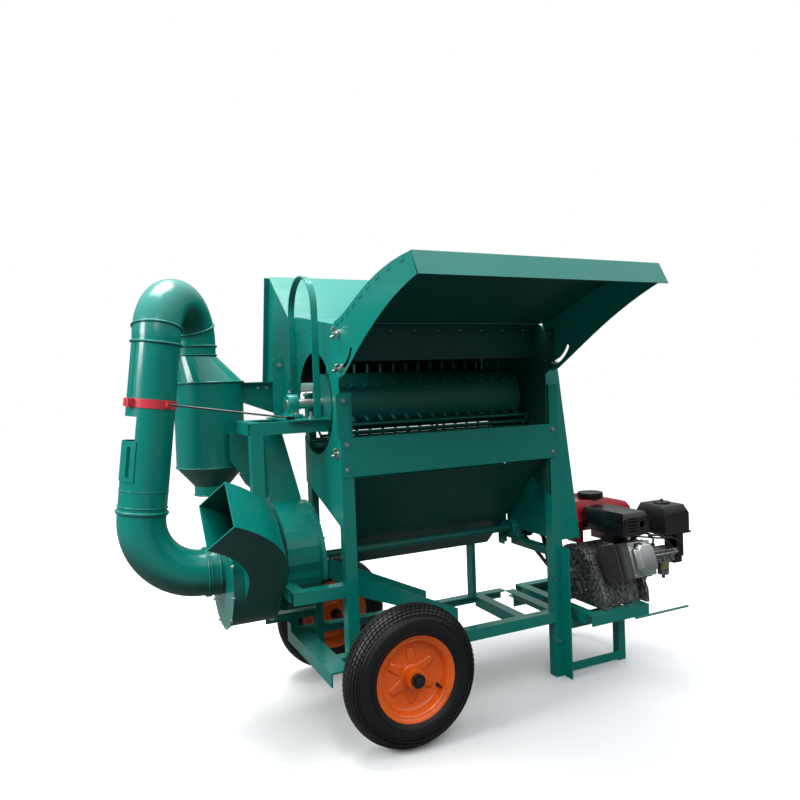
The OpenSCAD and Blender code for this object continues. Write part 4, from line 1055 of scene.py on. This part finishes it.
# %% [markdown]
# The engine's cylinder leans, so places on it are given in the cylinder's own axes and turned.
# Other places on the engine are measured from the crankshaft's axis, at the left face of the
# crankcase.

# %% Places on the engine
CRANK = (876, 60, 332)
TILT = math.radians(162)
leaning = Matrix.Rotation(TILT, 4, "X")
outwards = leaning @ Vector(BACK)


def engine(x, y, z):
    return at(CRANK[0] + x, CRANK[1] + y, CRANK[2] + z)


def cylinder_place(x, y, z):
    return engine(x, y * math.cos(TILT) - z * math.sin(TILT),
                  y * math.sin(TILT) + z * math.cos(TILT))


print("the cylinder points to:", [round(v, 2) for v in outwards])

# %% [markdown]
# The valve cover is a pressed box with cut corners. A cube's four long edges are bevelled flat, its
# outer face is inset and pulled out for the slanted border, and a last fine bevel rounds every
# edge.

# %% Valve cover
COVER_SIZE, COVER_CUT = (0.086, 0.022, 0.106), 0.02
BORDER, BORDER_DEEP, COVER_PLACE = 0.011, 0.013, (124, 219, 0)

fresh()
bpy.ops.mesh.primitive_cube_add(size=1)
cover = bpy.context.object
cover.scale = COVER_SIZE
freeze()
points = cover.data.vertices
bpy.ops.object.mode_set(mode="EDIT")
bpy.ops.mesh.select_mode(type="EDGE")
bpy.ops.mesh.select_all(action="DESELECT")
bpy.ops.object.mode_set(mode="OBJECT")
pick(cover.data.edges,
     lambda line: abs(points[line.vertices[0]].co.y - points[line.vertices[1]].co.y) > 0.01)
bpy.ops.object.mode_set(mode="EDIT")
bpy.ops.mesh.bevel(offset=COVER_CUT, segments=1)
bpy.ops.mesh.select_mode(type="FACE")
bpy.ops.mesh.select_all(action="DESELECT")
bpy.ops.object.mode_set(mode="OBJECT")
pick(cover.data.polygons, lambda polygon: polygon.normal.y > 0.9)
bpy.ops.object.mode_set(mode="EDIT")
bpy.ops.mesh.inset(thickness=BORDER, depth=BORDER_DEEP)
bpy.ops.object.mode_set(mode="OBJECT")
cover.matrix_world = Matrix.Translation(cylinder_place(*COVER_PLACE)) @ leaning
bevel(cover, 0.0022, 3)
print("faces of the valve cover:", len(cover.data.polygons))

# %% [markdown]
# A thin flange runs round the valve cover's foot, and four small bolts hold its corners.

# %% The valve cover's flange and bolts
FLANGE_SIZE, FLANGE_OUT = (0.094, 0.004, 0.114), 208.8
BOLT_SIDE, BOLT_UP, BOLT_OUT = 41, 51, 210.8

bpy.ops.mesh.primitive_cube_add(size=1)
flange = bpy.context.object
flange.matrix_world = (Matrix.Translation(cylinder_place(COVER_PLACE[0], FLANGE_OUT, 0)) @ leaning
                       @ Matrix.Diagonal((*FLANGE_SIZE, 1)))
bevel(flange, 0.0012)
settle(cover, "valve cover shell", "bright_aluminium")
settle(flange, "valve cover lip", "bright_aluminium")
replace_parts(cover, "valve_cover")
cover_bolts = [(cylinder_place(COVER_PLACE[0] + x, BOLT_OUT, z), outwards, 0.3)
               for x in (-BOLT_SIDE, BOLT_SIDE) for z in (-BOLT_UP, BOLT_UP)]
spread(m6_bolt, cover_bolts, "valve cover bolts")

# %% [markdown]
# The carburettor's bowl is a turned cup with its drain screw below. A stud and a thin throttle rod
# run beside it to the air cleaner.

# %% Carburettor bowl, stud and rod
BOWL = [(0, 0), (4, 0), (4, 5), (9, 7), (15, 13), (18.5, 22), (19.5, 34), (19.5, 48), (22, 48),
        (22, 56), (0, 56)]
ROUND_SHARE = 0.3


def rod(start, end, radius, name):
    fresh()
    bpy.ops.mesh.primitive_cylinder_add(vertices=16, radius=radius, depth=(end - start).length)
    piece = bpy.context.object
    piece.matrix_world = aimed((start + end) / 2, end - start)
    bevel(piece, radius * ROUND_SHARE)
    return settle(piece, name, "bright_steel")


bowl = lathe(BOWL, engine(258, -162, -22), UP, 40, "bowl")
settle(bowl, "carburettor bowl", "brass")
rod(engine(176, -190, 64), engine(300, -190, 64), 0.0035, "carburettor stud")
rod(engine(176, -190, 78), engine(296, -190, 74), 0.002, "throttle rod")
print("bowl height, mm:", BOWL[-1][1])

# %% [markdown]
# Two short hoses join the crankcase, the tank and the carburettor. Each is fixed at both ends, so a
# smooth curve through a few points is enough, and its bevel gives it thickness.

# %% Hoses
def hose(points, radius, name):
    """A soft tube along a smooth curve through the points."""
    data = bpy.data.curves.new(name, "CURVE")
    data.dimensions = "3D"
    line = data.splines.new("BEZIER")
    line.bezier_points.add(len(points) - 1)
    for target, place in zip(line.bezier_points, points):
        target.co = place
        target.handle_left_type = target.handle_right_type = "AUTO"
    data.bevel_depth = radius
    data.bevel_resolution = 4
    data.resolution_u = 10
    data.use_fill_caps = True
    piece = bpy.data.objects.new(name, data)
    bpy.context.scene.collection.objects.link(piece)
    choose(piece)
    bpy.ops.object.convert(target="MESH")
    return settle(bpy.context.object, name, "black_plastic", smooth=60)


breather = hose([engine(150, -206, 140), engine(190, -214, 138), engine(232, -206, 112),
                 engine(262, -196, 84)], 0.004, "breather hose")
fuel = hose([engine(170, -120, 120), engine(214, -196, 122), engine(262, -208, 118),
             engine(300, -204, 92), engine(306, -200, 62)], 0.0032, "fuel hose")
print("hose faces:", len(breather.data.polygons), len(fuel.data.polygons))

# %% [markdown]
# Six screws hold the recoil starter's cover, in a ring about the crankshaft.

# %% Starter screws
STARTER_FACE, STARTER_RING, SCREWS = 241.5, 92, 6
starter_screws = []
for step in range(SCREWS):
    angle = math.radians(30 + 60 * step)
    spot = engine(STARTER_FACE, STARTER_RING * math.cos(angle), STARTER_RING * math.sin(angle))
    starter_screws.append((spot, RIGHT, 0))
spread(m6_bolt, starter_screws, "starter screws")

# %% [markdown]
# The models that were copied have done their work and belong to no body of the machine, so they
# go. What is left is the machine.

# %% Clear the models that were copied
for model in (m8_bolt, m6_bolt, wing, round_head, tab):
    bpy.data.objects.remove(model)
